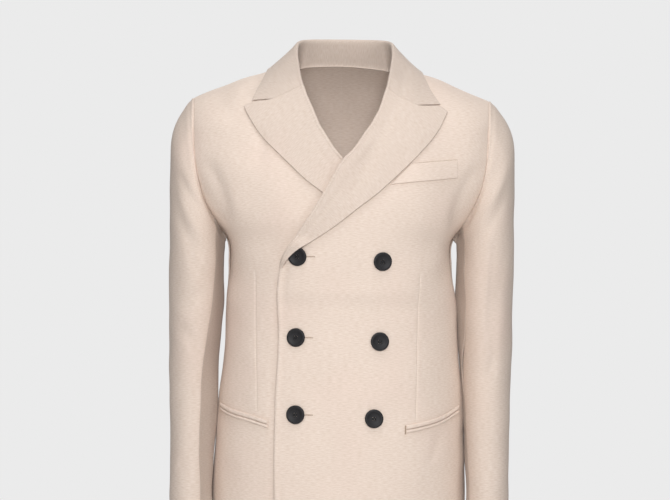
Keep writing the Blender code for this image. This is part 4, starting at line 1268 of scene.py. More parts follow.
@dataclass
class Sleeve:
    """A two-piece sleeve: its top and under pieces, joined along the arm.

    Down runs from 0 at the armhole through 1, below the head, to 2 at the cuff.
    """

    side: Side
    shift: float = 0.0
    hindarm: float = 262.0
    seam_radius: float = 0.022
    arm_radius: float = 0.055
    armhole_gap: float = 0.0002
    allowance: float = 0.0050
    head_reach: float = 0.34
    head_power: float = 2.4
    crowding: float = 1.35
    head_stretch: float = 0.45
    head_length: float = 0.24
    arm_length: float = 0.36
    ridge: float = 0.0013
    ridge_place: float = 0.0022
    ridge_width: float = 0.0017
    fullness: float = 0.0010
    fullness_place: float = 0.0120
    fullness_width: float = 0.0080
    step: float = 0.0045
    armhole_centre: tuple = (0.205, 0.0, -0.160)
    flatness: float = 0.85
    flat_z: float = -0.215
    flat_fade: float = 0.050
    fold_ends: tuple = (0.2, 0.5)
    fold_start: float = 0.3
    seam_fade: float = 0.003
    clear_width: float = 0.006
    tucks: tuple = (1.0, 0.4)
    probe_turn: float = 0.2
    probe_down: float = 0.01

    def height(self, down: Array) -> Array:
        """Height of the lower arm's level at places down it."""
        first, last = SLEEVE_LEVELS[-1].z, SLEEVE_LEVELS[0].z
        return first + (last - first) * np.clip(down - 1.0, 0.0, 1.0)

    def forearm(self, height: Array) -> Array:
        """Angle of the forearm seam at a height."""
        return smooth(SLEEVE_LEVELS, f"{self.side.word}_seam", height)

    def form(self, angle: Array, down: Array) -> Array:
        """Points of the sleeve's form, on the +X side."""
        angle, down = np.broadcast_arrays(np.asarray(angle, float), np.asarray(down, float))
        top = BODY.points(*BODY.armhole(np.mod(angle, 360)))
        head = np.clip(down, 0.0, 1.0)
        height = self.height(down)
        turn = np.radians(angle)
        x, y, width, depth = (
            smooth(SLEEVE_LEVELS, name, height) for name in SleeveLevel._fields[1:5]
        )
        ring_x = x + self.shift - width * np.cos(turn)
        ring = np.stack([ring_x, y - depth * np.sin(turn), height], axis=-1)
        outwards = 1 - (1 - np.clip(head / self.head_reach, 0.0, 1.0)) ** self.head_power
        level = top + (ring - top) * outwards[..., None]
        sink = top[..., 2] + (ring[..., 2] - top[..., 2]) * head
        return np.stack([level[..., 0], level[..., 1], sink], axis=-1)

    def normal(self, angle: Array, down: Array) -> Array:
        """Outward directions of the form."""
        turn = self.probe_turn
        around = self.form(angle + turn, down) - self.form(angle - turn, down)
        low = np.maximum(down - self.probe_down, 0.0)
        along = self.form(angle, low + 2 * self.probe_down) - self.form(angle, low)
        return unit(np.cross(along, around))

    def relief(self, angle: Array, points: Array) -> Array:
        """Height of the folds and waves at points of the sleeve."""
        height = rippled(points * np.array([1.0, self.side.value, 1.0]))
        spot = np.stack([np.radians(angle) * self.arm_radius, points[..., 2]], axis=-1)
        for fold in SLEEVE_FOLDS[self.side]:
            start = np.array([np.radians(fold.angle) * self.arm_radius, fold.z])
            end = np.array([np.radians(fold.to_angle) * self.arm_radius, fold.to_z])
            height = height + crease(spot - start, end - start, fold, self.fold_ends)
        return height

    def flattened(self, angle: Array, height: Array) -> Array:
        """Height of the cloth past the forearm seam, where it lies flat to the body."""
        forearm = self.forearm(height)
        past = np.clip(1 - np.mod(angle, 360) / forearm, 0.0, 1.0)
        depth = self.flatness * self.arm_radius * (1 - np.cos(np.radians(forearm / 2)))
        fade = ease((self.flat_z - height) / self.flat_fade)
        return -depth * np.sin(math.pi * past) ** 0.8 * fade

    def armhole_frame(self, angle: Array) -> tuple[Array, Array]:
        """Outward directions of the body along the seam, and directions into the armhole."""
        turn, over = BODY.armhole(np.mod(angle, 360))
        point = BODY.points(turn, over)
        normal = BODY.normal(np.minimum(turn, SIDE_TURN - 0.01), over)
        ahead, behind = (
            BODY.points(*BODY.armhole(np.mod(angle + step, 360))) for step in (1, -1)
        )
        across = unit(np.cross(ahead - behind, normal))
        inwards = np.sum(across * (np.array(self.armhole_centre) - point), axis=-1, keepdims=True)
        return normal, across * np.where(inwards < 0, -1.0, 1.0)

    def wall(self, name: str, angle: Array, down: Array) -> ClothWall:
        """The wall of a stretch of the sleeve."""
        form = self.form(angle, down)
        normal = self.normal(angle, down)
        body_out, into = self.armhole_frame(angle[0])
        gap = np.linalg.norm(form - form[0], axis=-1)
        rise = self.ridge * bump(gap, self.ridge_width, self.ridge_place)
        rise = rise + self.fullness * bump(gap, self.fullness_width, self.fullness_place)
        rise = rise + self.relief(angle, form) * ease(down / self.fold_start)
        rise = rise + self.flattened(angle, form[..., 2])
        face = form + normal * rise[..., None] * ease(gap / self.seam_fade)[..., None]
        facing = np.clip(np.sum(-normal[0] * body_out, axis=-1, keepdims=True), 0.0, 1.0)
        clear = (into + body_out * facing) * self.armhole_gap
        near = bump(gap, self.clear_width)[..., None]
        face = face + clear[None] * near
        towards = np.minimum(np.sum(-normal[0] * into, axis=-1, keepdims=True), 0.0)
        wall_out = -unit(-normal[0] - towards * into)
        normal = unit(normal * (1 - near) + wall_out[None] * near)
        tucks = [face[0] - body_out * self.allowance * share for share in self.tucks]
        face = np.concatenate([tucks, face])
        normal = np.concatenate([[-into, unit(wall_out - into)], normal])
        mirror = np.array([self.side.value, 1.0, 1.0])
        edges = (Edge.BURIED, Edge.TURNED, Edge.SEAMED, Edge.SEAMED)
        return ClothWall(name, face * mirror, normal * mirror, SLEEVE_WALL, edges)

    def build(self, finish: bpy.types.Material, under: bpy.types.Material) -> None:
        """Make both pieces, the under sleeve in a darker copy of the cloth: painted shade where it
        turns in towards the body.
        """
        near = np.array(LIP_STEPS) / self.head_stretch
        start = near[-1] ** (1 / self.crowding)
        head = np.linspace(start, 1, round(self.head_length / self.step)) ** self.crowding
        lower = 1 + graded(self.arm_length, self.step, start=False)[1:]
        down = np.concatenate([near[:-1], head, lower])[:, None]
        forearm = self.forearm(self.height(down))
        gap = math.degrees(HALF_GAP / self.seam_radius)
        for part, other, cloth, low, high, width in (
            ("top", "under", finish, forearm + gap, self.hindarm - gap, 0.21),
            ("under", "top", under, self.hindarm + gap, 360 + forearm - gap, 0.11),
        ):
            share = graded(width, self.step)[None, :]
            angle = low + (high - low) * share
            name = f"sleeve_{part}_{self.side.word}"
            wall = self.wall(name, angle, down * np.ones(share.shape))
            wall.hang(cloth, f"front_{self.side.word}", f"sleeve_{other}_{self.side.word}")


@dataclass
class TurnedPiece:
    """A piece that stands beside a panel's edge and turns over on to its face."""

    side: Side
    wall: float = TURNED_WALL
    gap: float = 0.0006
    crest_radius: float = 0.0018
    crest_rise: float = 0.0022
    inner_drop: float = 0.75
    outer_drop: float = 0.02
    stand_drop: float = 0.50
    flat_roll: float = 1.7
    stand_roll: float = 1.1
    stand_fade: float = 0.008
    shift_power: float = 1.5
    spring_power: float = 1.4
    edge_lift: float = 0.0
    trough: float = 0.0
    trough_share: float = 0.27
    trough_width: float = 0.11
    gorge_gap: float = 0.0002
    corner_share: float = 0.55
    corner_spot: float = 9.0
    bend_reach: float = 0.082
    step: float = 0.0030
    leaf_step: float = 0.0028
    leaf_length: float = 0.075
    lip_length: float = 0.012
    probe: float = 0.0015
    leaf_shares: tuple = (0.12, 0.26, 0.40, 0.55, 0.70, 0.85, 1.0)
    facing_row: int = 3
    facing_share: float = 0.8
    facing_sign: float = -1.0

    @property
    def front(self) -> Front:
        """The front that the piece is sewn to."""
        return FRONTS[self.side]

    @property
    def notch(self) -> Notch:
        """Where the collar meets the lapel."""
        return NOTCHES[self.side]

    def gorge_over(self) -> float:
        """Over of the point where the gorge seam meets the roll line."""
        return float(BODY.place(*self.notch.roll)[1])

    def panel_edge(self, over: Array) -> tuple[Array, Array, Array]:
        """Points on the front's inner edge, with their outward and off-panel directions."""
        low, point, high = (
            DRAPE.surface(self.front.inner_edge(place), place, self.front.lapped)
            for place in (over - self.probe, over, over + self.probe)
        )
        normal = BODY.normal(self.front.inner_edge(over), over)
        return point, normal, unit(np.cross(high - low, normal)) * -self.side.value

    def skeleton(
        self, edge: Array, normal: Array, across: Array, crest: Array, rise: Array,
        leaf: list[tuple[Array, Array]], stand: Array,
    ) -> Array:
        """Middle grid of the turned piece, in a few columns.

        Args:
            edge: the panel's edge points.
            normal: the panel's outward directions there.
            across: directions off the panel there.
            crest: the highest points of the roll.
            rise: height of the roll's crest over the pressed cloth.
            leaf: the surface points under the leaf with the outward directions there, for
                each of its shares.
            stand: height of the piece's stand at each row.

        Returns:
            The grid, from the panel's edge over the crest to the leaf's edge.
        """
        level = edge + across * (self.gap + self.wall / 2)
        start = level - normal * (FRONT_WALL - SEAM_GAP)
        upright = unit(crest - level)
        outwards = leaf[-1][0] - crest
        outwards = outwards - upright * np.sum(outwards * upright, axis=-1, keepdims=True)
        outwards = unit(outwards)
        flat = np.exp(-stand / self.stand_fade)
        inner = rise * self.inner_drop
        outer = rise * (self.outer_drop * flat + self.stand_drop * (1 - flat))
        before = crest - outwards * self.crest_radius - upright * inner[:, None]
        after = crest + outwards * self.crest_radius - upright * outer[:, None]
        lay = LAY_GAP + self.wall / 2
        lift = np.sum((after - edge) * normal, axis=-1)
        shift = after - edge - normal * lift[:, None]
        spread = self.stand_roll + (self.flat_roll - self.stand_roll) * flat
        spring = np.sin(math.pi * np.linspace(0.0, 1.0, len(edge)) ** self.spring_power)
        columns = [start, level, (level + before) / 2, before, crest, after]
        for share, (under, out) in zip(self.leaf_shares, leaf):
            rest = 1 - share
            height = lay + (lift - lay) * rest**spread
            height = height + self.edge_lift * ease((share - 0.5) / 0.5) * spring
            sag = bump(share, self.trough_width, self.trough_share)
            height = height - self.trough * sag * spring
            columns.append(under + out * height[:, None] + shift * rest**self.shift_power)
        return np.stack(columns, axis=1)

    def spots(self) -> Array:
        """Places of the columns along the skeleton's lines, closer at the roll and edge."""
        last = 5.0 + len(self.leaf_shares)
        leaf = np.linspace(5, last, 1 + round(self.leaf_length / self.leaf_step))
        lip = last - np.array(LIP_STEPS[:-1])[::-1] / self.lip_length
        keep = leaf[leaf < lip[0] - 0.1]
        return np.concatenate([np.linspace(0, 5, 21)[:-1], keep, lip])

    def refined(self, skeleton: Array) -> Array:
        """Read smooth lines across the skeleton."""
        return np.stack([rounded(line, self.spots()) for line in skeleton])

    def cloth(self, name: str, middle: Array, edges: tuple) -> ClothWall:
        """The wall round a middle grid, its face turned away from the body.

        Args:
            name: the node that it stands for.
            middle: the grid.
            edges: the finishes of its edges.

        Returns:
            The wall.
        """
        out = grid_normal(middle)
        row, number = middle.shape[0] // self.facing_row, int(middle.shape[1] * self.facing_share)
        out = out * math.copysign(1.0, out[row, number, 1]) * self.facing_sign
        notch_column = int(np.searchsorted(self.spots(), self.corner_spot))
        face = middle + out * self.wall / 2
        return ClothWall(name, face, out, self.wall, edges, notch_column=notch_column)


@dataclass
class Lapel(TurnedPiece):
    """A peaked lapel, turned out along the roll line and pressed flat towards the break."""

    contour: tuple = ()
    corner_stop: float = 0.85
    flat_start: float = 0.8
    flat_end: float = 1.1
    under_flat_z: float = -0.150
    under_fade: float = 0.030
    cover_rise: float = 0.0055
    cover_near: float = 0.0145
    cover_far: float = 0.034
    end_fade: float = 0.030
    end_shift: float = 0.0024
    end_sink: float = 0.016
    stand: float = 0.004
    edge_lift: float = 0.0016
    stand_drop: float = 0.04
    trough: float = 0.0009

    def button_cover(self, x: Array, z: Array) -> Array:
        """Rise of the lapel where its edge lies over the top button."""
        if self.side is Side.RIGHT:
            return np.zeros(np.shape(x))
        reach = np.hypot(x - BUTTON_PLACES[0][0], z - BUTTON_PLACES[0][1])
        share = (self.cover_far - reach) / (self.cover_far - self.cover_near)
        return self.cover_rise * ease(share)

    def leaf(self, edge: Array, progress: Array, bend: Array) -> list[tuple[Array, Array]]:
        """Points under the leaf, and outward directions there, for each of its shares.

        Args:
            edge: the panel's edge points.
            progress: share of the way down the edge at each.
            bend: how far each row follows the lapel's upper edge.

        Returns:
            The points and directions.
        """
        line = np.array([(row.x, row.z) for row in sorted(self.contour, key=lambda row: -row.z)])
        far_x, far_z = (
            smooth_values(arc(line) / arc(line)[-1], line[:, axis], progress) for axis in (0, 1)
        )
        notch = self.notch
        top_line = [(edge[0, 0], edge[0, 2]), notch.corner, notch.lapel_corner, notch.peak]
        leaf = []
        for share in self.leaf_shares:
            x, z = mix(edge[:, 0], far_x, share), mix(edge[:, 2], far_z, share)
            top_shares = (0.0, self.corner_share, self.corner_stop, 1.0)
            top_x, top_z = line_point(top_line, top_shares, share)
            x = x + (top_x - x[0]) * bend
            z = z + (top_z - self.gorge_gap / 2 - z[0]) * bend
            turn, place = BODY.place(x, z)
            out = BODY.normal(turn, place)
            point = DRAPE.surface(turn, place, self.front.lapped)
            leaf.append((point + out * self.button_cover(x, z)[:, None], out))
        return leaf

    def build(self, finish: bpy.types.Material) -> None:
        """Make the lapel."""
        top, low = self.gorge_over() - self.gorge_gap / 2, self.front.break_z
        over = top + (low - top) * graded(top - low, self.step, end=False)
        edge, normal, across = self.panel_edge(over)
        progress = arc(edge) / arc(edge)[-1]
        bend = np.clip(1 - (over[0] - over) / self.bend_reach, 0.0, 1.0)
        flat = (self.flat_end - progress) / (self.flat_end - self.flat_start)
        if self.side is Side.RIGHT:
            flat = (over - self.under_flat_z) / self.under_fade
        rise = self.crest_rise * ease(flat)
        lift = LAY_GAP + self.wall / 2 + rise + self.button_cover(edge[:, 0], edge[:, 2])
        middle = self.refined(self.skeleton(
            edge, normal, across, edge + normal * lift[:, None], rise,
            self.leaf(edge, progress, bend), np.full(len(over), self.stand),
        ))
        near = ease(1 - (over - low) / self.end_fade)[:, None, None]
        middle = middle - across[:, None] * self.end_shift * near
        sink = ease(1 - (over - low) / self.end_sink)[:, None, None]
        middle = middle - normal[:, None] * (LAY_GAP + self.wall + SEAM_GAP) * sink
        edges = (Edge.GORGE, Edge.TURNED, Edge.BURIED, Edge.TURNED)
        wall = self.cloth(f"lapel_{self.side.word}", middle, edges)
        wall.hang(finish, f"front_{self.side.word}")


@dataclass
class Collar(TurnedPiece):
    """The collar: stand and leaf, from gorge to gorge round the back of the neck."""

    gap: float = 0.0008
    length: float = 0.27
    bend_share: float = 0.12
    facing_row: int = 2
    facing_sign: float = 1.0

    def sections(self, edge: Array, crest: Array, top: float) -> tuple:
        """The collar's stations, with one at the gorge on this side.

        Args:
            edge: the gorge's point on the front's edge.
            crest: the crest's point above it.
            top: over of the gorge there.

        Returns:
            The stations from the gorge to the centre back.
        """
        sign = self.side.value
        tip_turn, tip_over = BODY.place(*self.notch.collar_point)
        tip_x = float(BODY.points(tip_turn, tip_over)[0])
        neck_x, crest_x, edge_x = (
            (float(x) - NECK_CENTRE_X) * sign for x in (edge[0], crest[0], tip_x)
        )
        first = Station(
            0.0, neck_x, top, crest_x, float(crest[1]), float(crest[2]), edge_x, float(tip_over)
        )
        return (first,) + COLLAR_SECTIONS

    def half(self) -> Array:
        """Middle grid of the half on this side, from the gorge to the centre back."""
        sign, notch, lapped = self.side.value, self.notch, self.front.lapped
        top = self.gorge_over() + self.gorge_gap / 2
        edge, normal, _ = self.panel_edge(np.array([top]))
        crest = edge[0] + normal[0] * (LAY_GAP + self.wall / 2 + self.crest_rise)
        rows = self.sections(edge[0], crest, top)
        shares = graded(self.length, self.step, end=False)
        neck_x, neck_over, crest_x, crest_y, crest_z, edge_x, edge_over = (
            smooth(rows, name, shares) for name in Station._fields[1:]
        )
        neck_x, crest_x, edge_x = (
            NECK_CENTRE_X + sign * values for values in (neck_x, crest_x, edge_x)
        )
        ahead = (neck_over < 0)[:, None]
        front_base, front_out, _ = self.panel_edge(np.minimum(neck_over, 0.0))
        neck_over = np.where(neck_over < 0, neck_over, neck_top(neck_x))
        neck_turn = BODY.turn_at(neck_x, neck_over)
        edge_turn = BODY.turn_at(edge_x, edge_over)
        base = np.where(ahead, front_base, DRAPE.surface(neck_turn, neck_over, lapped))
        outward = np.where(ahead, front_out, BODY.normal(neck_turn, neck_over))
        off = unit(np.cross(np.gradient(base, axis=0), outward)) * -sign
        crest = np.stack([crest_x, crest_y, crest_z], axis=-1)
        top_line = [(edge[0, 0], edge[0, 2]), notch.corner, notch.collar_point]
        bend = np.clip(1 - shares / self.bend_share, 0.0, 1.0)
        leaf = []
        for share in self.leaf_shares:
            turn = mix(neck_turn, edge_turn, share)
            place = mix(neck_over, edge_over, share)
            line_x, line_z = line_point(top_line, (0.0, self.corner_share, 1.0), share)
            line_turn, line_over = BODY.place(line_x, line_z + self.gorge_gap / 2)
            turn = turn + (line_turn - turn[0]) * bend
            place = place + (line_over - place[0]) * bend
            leaf.append((DRAPE.surface(turn, place, lapped), BODY.normal(turn, place)))
        return self.skeleton(
            base, outward, off, crest, np.full(len(shares), self.crest_rise), leaf,
            np.linalg.norm(crest - base, axis=-1),
        )

    def build(self, finish: bpy.types.Material) -> None:
        """Make the whole collar from this half and the other one."""
        left = self.half()
        right = Collar(Side.RIGHT).half()
        centre = (left[-1:] + right[-1:]) / 2
        middle = self.refined(np.concatenate([left[:-1], centre, right[:-1][::-1]]))
        edges = (Edge.GORGE, Edge.GORGE, Edge.BURIED, Edge.TURNED)
        self.cloth("collar", middle, edges).hang(finish, "back_left", "back_right")


@dataclass
class Welt:
    """The breast pocket's welt: a folded strip sewn on with its ends stitched down."""

    wall: float = 0.0016
    width: float = 0.09
    height: float = 0.026
    step: float = 0.003

    def build(self, finish: bpy.types.Material) -> None:
        """Make the welt."""
        top, low = np.array(WELT_CORNERS)
        along = graded(self.width, self.step)[None, :]
        down = graded(self.height, self.step)[:, None]
        x, z = (
            mix(mix(*top[:, axis], along), mix(*low[:, axis], along), down) for axis in (0, 1)
        )
        turn, over = BODY.place(x, z)
        face = DRAPE.surface(turn, over, True, rise=STRIP_GAP + self.wall)
        normal = BODY.normal(turn, over)
        wall = ClothWall("breast_welt", face, normal, self.wall, (Edge.TURNED,) * 4)
        wall.hang(finish, "front_left")


@dataclass
class HipPocket:
    """A slanting hip pocket with two jets, its dark mouth between them."""

    side: Side
    near: float = 0.0005
    upper_far: float = 0.0066
    lower_far: float = 0.0047
    wall: float = 0.0018
    crown: float = 0.0007
    count: int = 40
    rows: tuple = (0.0, 0.0005, 0.0011, 0.0021, 0.0031, 0.0037, 0.0042)

    def line(self) -> tuple[Array, Array]:
        """x and z of points along the pocket's mouth."""
        order = sorted(POCKETS[self.side], key=lambda row: row.x)
        keys = column(order, "x")
        span = keys[-1] - keys[0]
        x = keys[0] + span * graded(span, span / self.count)
        return x, smooth_values(keys, column(order, "z"), x)

    def build(self, finish: bpy.types.Material) -> None:
        """Make both jets."""
        x, z = self.line()
        across = np.array(self.rows)
        bulge = self.crown * np.sin(math.pi * across / across[-1])[:, None]
        for level, low, high in (
            ("upper", self.near, self.upper_far), ("lower", -self.lower_far, -self.near),
        ):
            height = (low + across * (high - low) / across[-1])[:, None]
            turn, over = BODY.place(np.repeat(x[None], len(across), axis=0), z[None] + height)
            normal = BODY.normal(turn, over)
            lapped = FRONTS[self.side].lapped
            face = DRAPE.surface(turn, over, lapped, rise=STRIP_GAP + self.wall)
            face = face + normal * bulge[..., None]
            name = f"pocket_jet_{level}_{self.side.word}"
            wall = ClothWall(name, face, normal, self.wall, (Edge.TURNED,) * 4)
            wall.hang(finish, f"front_{self.side.word}")


@dataclass(frozen=True)
class Button:
    """A four-hole button with a raised rim, and the thread that holds it."""

    steps: int = 72
    hole_radius: float = 0.0010
    hole_spacing: float = 0.0017
    seat: float = 0.0005
    smooth_angle: float = math.radians(38)
    profile: tuple = (
        (0.0000, 0.0021), (0.0040, 0.0020), (0.0076, 0.0022), (0.0089, 0.0027),
        (0.0099, 0.0032), (0.0111, 0.0034), (0.0122, 0.0033), (0.0130, 0.0029),
        (0.0134, 0.0022), (0.0134, 0.0015), (0.0130, 0.0009), (0.0120, 0.0004),
        (0.0108, 0.0001), (0.0092, 0.0000), (0.0000, 0.0000),
    )
    strand_radius: float = 0.00034
    strand_slip: float = 0.00028
    strand_bed: float = 0.0006
    strand_heights: tuple = (0.0018, 0.0027, 0.0030)

    def shape(self) -> bpy.types.Mesh:
        """Turn the profile into a round, and drill its holes."""
        body = bmesh.new()
        points = [body.verts.new((radius, 0.0, height)) for radius, height in self.profile]
        edges = [body.edges.new(pair) for pair in zip(points, points[1:])]
        bmesh.ops.spin(
            body, geom=points + edges, cent=(0, 0, 0), axis=(0, 0, 1),
            angle=2 * math.pi, steps=self.steps,
        )
        bmesh.ops.remove_doubles(body, verts=body.verts, dist=0.00001)
        bmesh.ops.recalc_face_normals(body, faces=body.faces)
        turned = add_object("button", to_mesh("button", body))
        cutters = []
        for side, level in ((-1, -1), (-1, 1), (1, -1), (1, 1)):
            drill = bmesh.new()
            where = (side * self.hole_spacing, level * self.hole_spacing, 0.0)
            bmesh.ops.create_cone(
                drill, cap_ends=True, segments=20, radius1=self.hole_radius,
                radius2=self.hole_radius, depth=0.02, matrix=Matrix.Translation(where),
            )
            cutters.append(add_object("drill", to_mesh("drill", drill)))
            cut = turned.modifiers.new("hole", "BOOLEAN")
            cut.object, cut.solver = cutters[-1], "EXACT"
        result = baked(turned, *cutters)
        result.set_sharp_from_angle(angle=self.smooth_angle)
        return result

    def strands(self) -> bpy.types.Mesh:
        """The thread through the holes: two upright bars, doubled."""
        curve = bpy.data.curves.new("strands", "CURVE")
        curve.dimensions = "3D"
        curve.bevel_depth, curve.bevel_resolution, curve.use_fill_caps = 1.0, 2, True
        reach, bed = self.hole_spacing, -self.seat - self.strand_bed
        low, high, top = self.strand_heights
        for side in (-1, 1):
            for slip in (-self.strand_slip, self.strand_slip):
                line = (
                    (-reach, bed), (-reach, low), (-reach * 0.8, high), (0.0, top),
                    (reach * 0.8, high), (reach, low), (reach, bed),
                )
                spline = curve.splines.new("POLY")
                spline.points.add(len(line) - 1)
                for spot, (y, z) in zip(spline.points, line):
                    spot.co = (side * reach + slip, y, z, 1.0)
                    spot.radius = self.strand_radius
        return baked(add_object("strands", curve))


@dataclass
class Buttons:
    """The six buttons with their thread, seated on the lapped front."""

    button: Button = Button()

    def seat(self, place: tuple) -> Matrix:
        """Where a button sits, square to the cloth."""
        turn, over = BODY.place(*place)
        normal = Vector(BODY.normal(turn, over))
        spot = Vector(DRAPE.surface(turn, over, True, rise=self.button.seat))
        across = Vector((0.0, 0.0, 1.0)).cross(normal).normalized()
        turned = Matrix((across, normal.cross(across), normal)).transposed()
        return Matrix.Translation(spot) @ turned.to_4x4()

    def build(self, resin: bpy.types.Material, thread: bpy.types.Material) -> None:
        """Make the buttons."""
        shape, strands = self.button.shape(), self.button.strands()
        for number, place in enumerate(BUTTON_PLACES, start=1):
            seat, node = self.seat(place), f"button_{number}"
            for mesh, name, finish, nodes in (
                (shape, f"{node}_resin", resin, (node,)),
                (strands, f"{node}_thread", thread, ()),
            ):
                copy = mesh.copy()
                copy.transform(seat)
                declare(link_piece(name, copy, finish), nodes)


@dataclass
class StitchRow:
    """Satin stitches laid side by side across a line, by a Geometry Nodes tree."""

    spacing: float = 0.00055
    length: float = 0.0022
    thread: float = 0.00030
    arch: float = 0.0006

    def tree(self, finish: bpy.types.Material) -> bpy.types.NodeTree:
        """Build the tree, with the stitch's sizes as its inputs."""
        tree = bpy.data.node_groups.new("satin_stitches", "GeometryNodeTree")
        face = tree.interface
        face.new_socket("Line", in_out="INPUT", socket_type="NodeSocketGeometry")
        for name in ("Spacing", "Stitch length", "Thread radius", "Arch"):
            face.new_socket(name, in_out="INPUT", socket_type="NodeSocketFloat")
        face.new_socket("Stitches", in_out="OUTPUT", socket_type="NodeSocketGeometry")
        given = add_node(tree, "NodeGroupInput").outputs
        line = add_node(tree, "GeometryNodeMeshToCurve", {"Mesh": given["Line"]})
        spots = add_node(
            tree, "GeometryNodeResampleCurve", {"Curve": line, "Length": given["Spacing"]},
            mode="LENGTH",
        )
        half = add_node(
            tree, "ShaderNodeMath", {0: given["Stitch length"], 1: 0.5}, operation="MULTIPLY"
        )
        back = add_node(tree, "ShaderNodeMath", {0: half, 1: -1.0}, operation="MULTIPLY")
        start = add_node(tree, "ShaderNodeCombineXYZ", {"Y": back})
        end = add_node(tree, "ShaderNodeCombineXYZ", {"Y": half})
        top = add_node(tree, "ShaderNodeCombineXYZ", {"Z": given["Arch"]})
        bow = add_node(
            tree, "GeometryNodeCurveQuadraticBezier",
            {"Resolution": 5, "Start": start, "Middle": top, "End": end},
        )
        ring = add_node(
            tree, "GeometryNodeCurvePrimitiveCircle",
            {"Resolution": 6, "Radius": given["Thread radius"]},
        )
        stitch = add_node(
            tree, "GeometryNodeCurveToMesh",
            {"Curve": bow, "Profile Curve": ring, "Fill Caps": True},
        )
        out = add_node(
            tree, "GeometryNodeInputNamedAttribute", {"Name": "out"}, data_type="FLOAT_VECTOR"
        )
        along = add_node(tree, "GeometryNodeInputTangent")
        stand = add_node(tree, "FunctionNodeAlignRotationToVector", {"Vector": out}, axis="Z")
        turned = add_node(
            tree, "FunctionNodeAlignRotationToVector", {"Rotation": stand, "Vector": along},
            axis="X", pivot_axis="Z",
        )
        laid = add_node(
            tree, "GeometryNodeInstanceOnPoints",
            {"Points": spots, "Instance": stitch, "Rotation": turned},
        )
        real = add_node(tree, "GeometryNodeRealizeInstances", {"Geometry": laid})
        done = add_node(tree, "GeometryNodeSetMaterial", {"Geometry": real, "Material": finish})
        add_node(tree, "NodeGroupOutput", {"Stitches": done})
        return tree

    def sew(self, name: str, lines: list, tree: bpy.types.NodeTree) -> None:
        """Lay stitches along lines of points on the left front and make them one piece.

        Args:
            name: the piece's name.
            lines: each line's points and outward directions.
            tree: the stitches' node tree.
        """
        points, outs = (np.concatenate([line[part] for line in lines]) for part in (0, 1))
        edges, start = [], 0
        for line, _ in lines:
            edges += [(start + step, start + step + 1) for step in range(len(line) - 1)]
            start += len(line)
        mesh = bpy.data.meshes.new(name)
        mesh.from_pydata(points.tolist(), edges, [])
        layer = mesh.attributes.new("out", "FLOAT_VECTOR", "POINT")
        layer.data.foreach_set("vector", outs.ravel())
        item = add_object(name, mesh)
        sewn = item.modifiers.new("stitches", "NODES")
        sewn.node_group = tree
        inputs = [entry for entry in tree.interface.items_tree if entry.in_out == "INPUT"][1:]
        for entry, value in zip(inputs, astuple(self)):
            sewn[entry.identifier] = value
        finish = tree.nodes["Set Material"].inputs["Material"].default_value
        declare(link_piece(name, baked(item), finish))


@dataclass
class Sewing:
    """Buttonholes beside the edge buttons, a pocket's tack, and the welt's fine stitches."""

    hole_start: float = -0.004
    hole_length: float = 0.028
    hole_width: float = 0.00035
    hole_points: int = 97
    hole_squareness: float = 4.0
    hole_rise: float = 0.0001
    tack_height: float = 0.012
    tack_shift: float = 0.0012
    tack_rise: float = 0.0004
    welt_gap: float = 0.0004
    welt_start: float = 0.06
    welt_corner: float = 0.01
    welt_rise: float = 0.0003

    def on_front(self, x: Array, z: Array, rise: float) -> tuple[Array, Array]:
        """Points and outward directions on the lapped front."""
        turn, over = BODY.place(x, z)
        return DRAPE.surface(turn, over, True, rise=rise), BODY.normal(turn, over)

    def buttonhole(self, place: tuple) -> tuple[Array, Array]:
        """The round of a buttonhole: up one side, round its end and back."""
        turns = np.linspace(0, 2 * math.pi, self.hole_points)
        across, along = (
            np.clip(wave(turns) * self.hole_squareness, -1, 1) for wave in (np.cos, np.sin)
        )
        half = self.hole_length / 2
        x = place[0] + self.hole_start + half + half * across
        return self.on_front(x, place[1] + self.hole_width * along, self.hole_rise)

    def tack(self) -> tuple[Array, Array]:
        """The bar tack at the inner end of the wearer's left hip pocket."""
        end = min(POCKETS[Side.LEFT], key=lambda row: row.x)
        z = end.z + np.linspace(-0.5, 0.5, 25) * self.tack_height
        return self.on_front(np.full(z.shape, end.x - self.tack_shift), z, self.tack_rise)

    def welt_edge(self) -> tuple[Array, Array]:
        """The stitched round of the breast welt: its upper edge and its outer end."""
        (top_start, top_end), (_, low_end) = WELT_CORNERS
        corners = np.array([top_start, top_end, low_end])
        share = arc(corners) / arc(corners)[-1]
        along = np.linspace(self.welt_start, 1.0, 180)
        x, z = line_point(corners, share, along)
        x = x + self.welt_gap * ease((along - share[1]) / self.welt_corner)
        z = z + self.welt_gap * ease((share[1] - along) / self.welt_corner)
        return self.on_front(x, z, self.welt_rise)

    def build(self, thread: bpy.types.Material) -> None:
        """Sew everything."""
        purl = StitchRow(length=0.0008, thread=0.00018, arch=0.0002)
        bar = StitchRow(spacing=0.00050, length=0.0014)
        prick = StitchRow(spacing=0.0007, length=0.0007, thread=0.00022, arch=0.0003)
        tree = purl.tree(thread)
        holes = [self.buttonhole(place) for place in BUTTON_PLACES[:3]]
        purl.sew("buttonhole_stitches", holes, tree)
        bar.sew("pocket_tack_left", [self.tack()], tree)
        prick.sew("welt_stitches", [self.welt_edge()], tree)


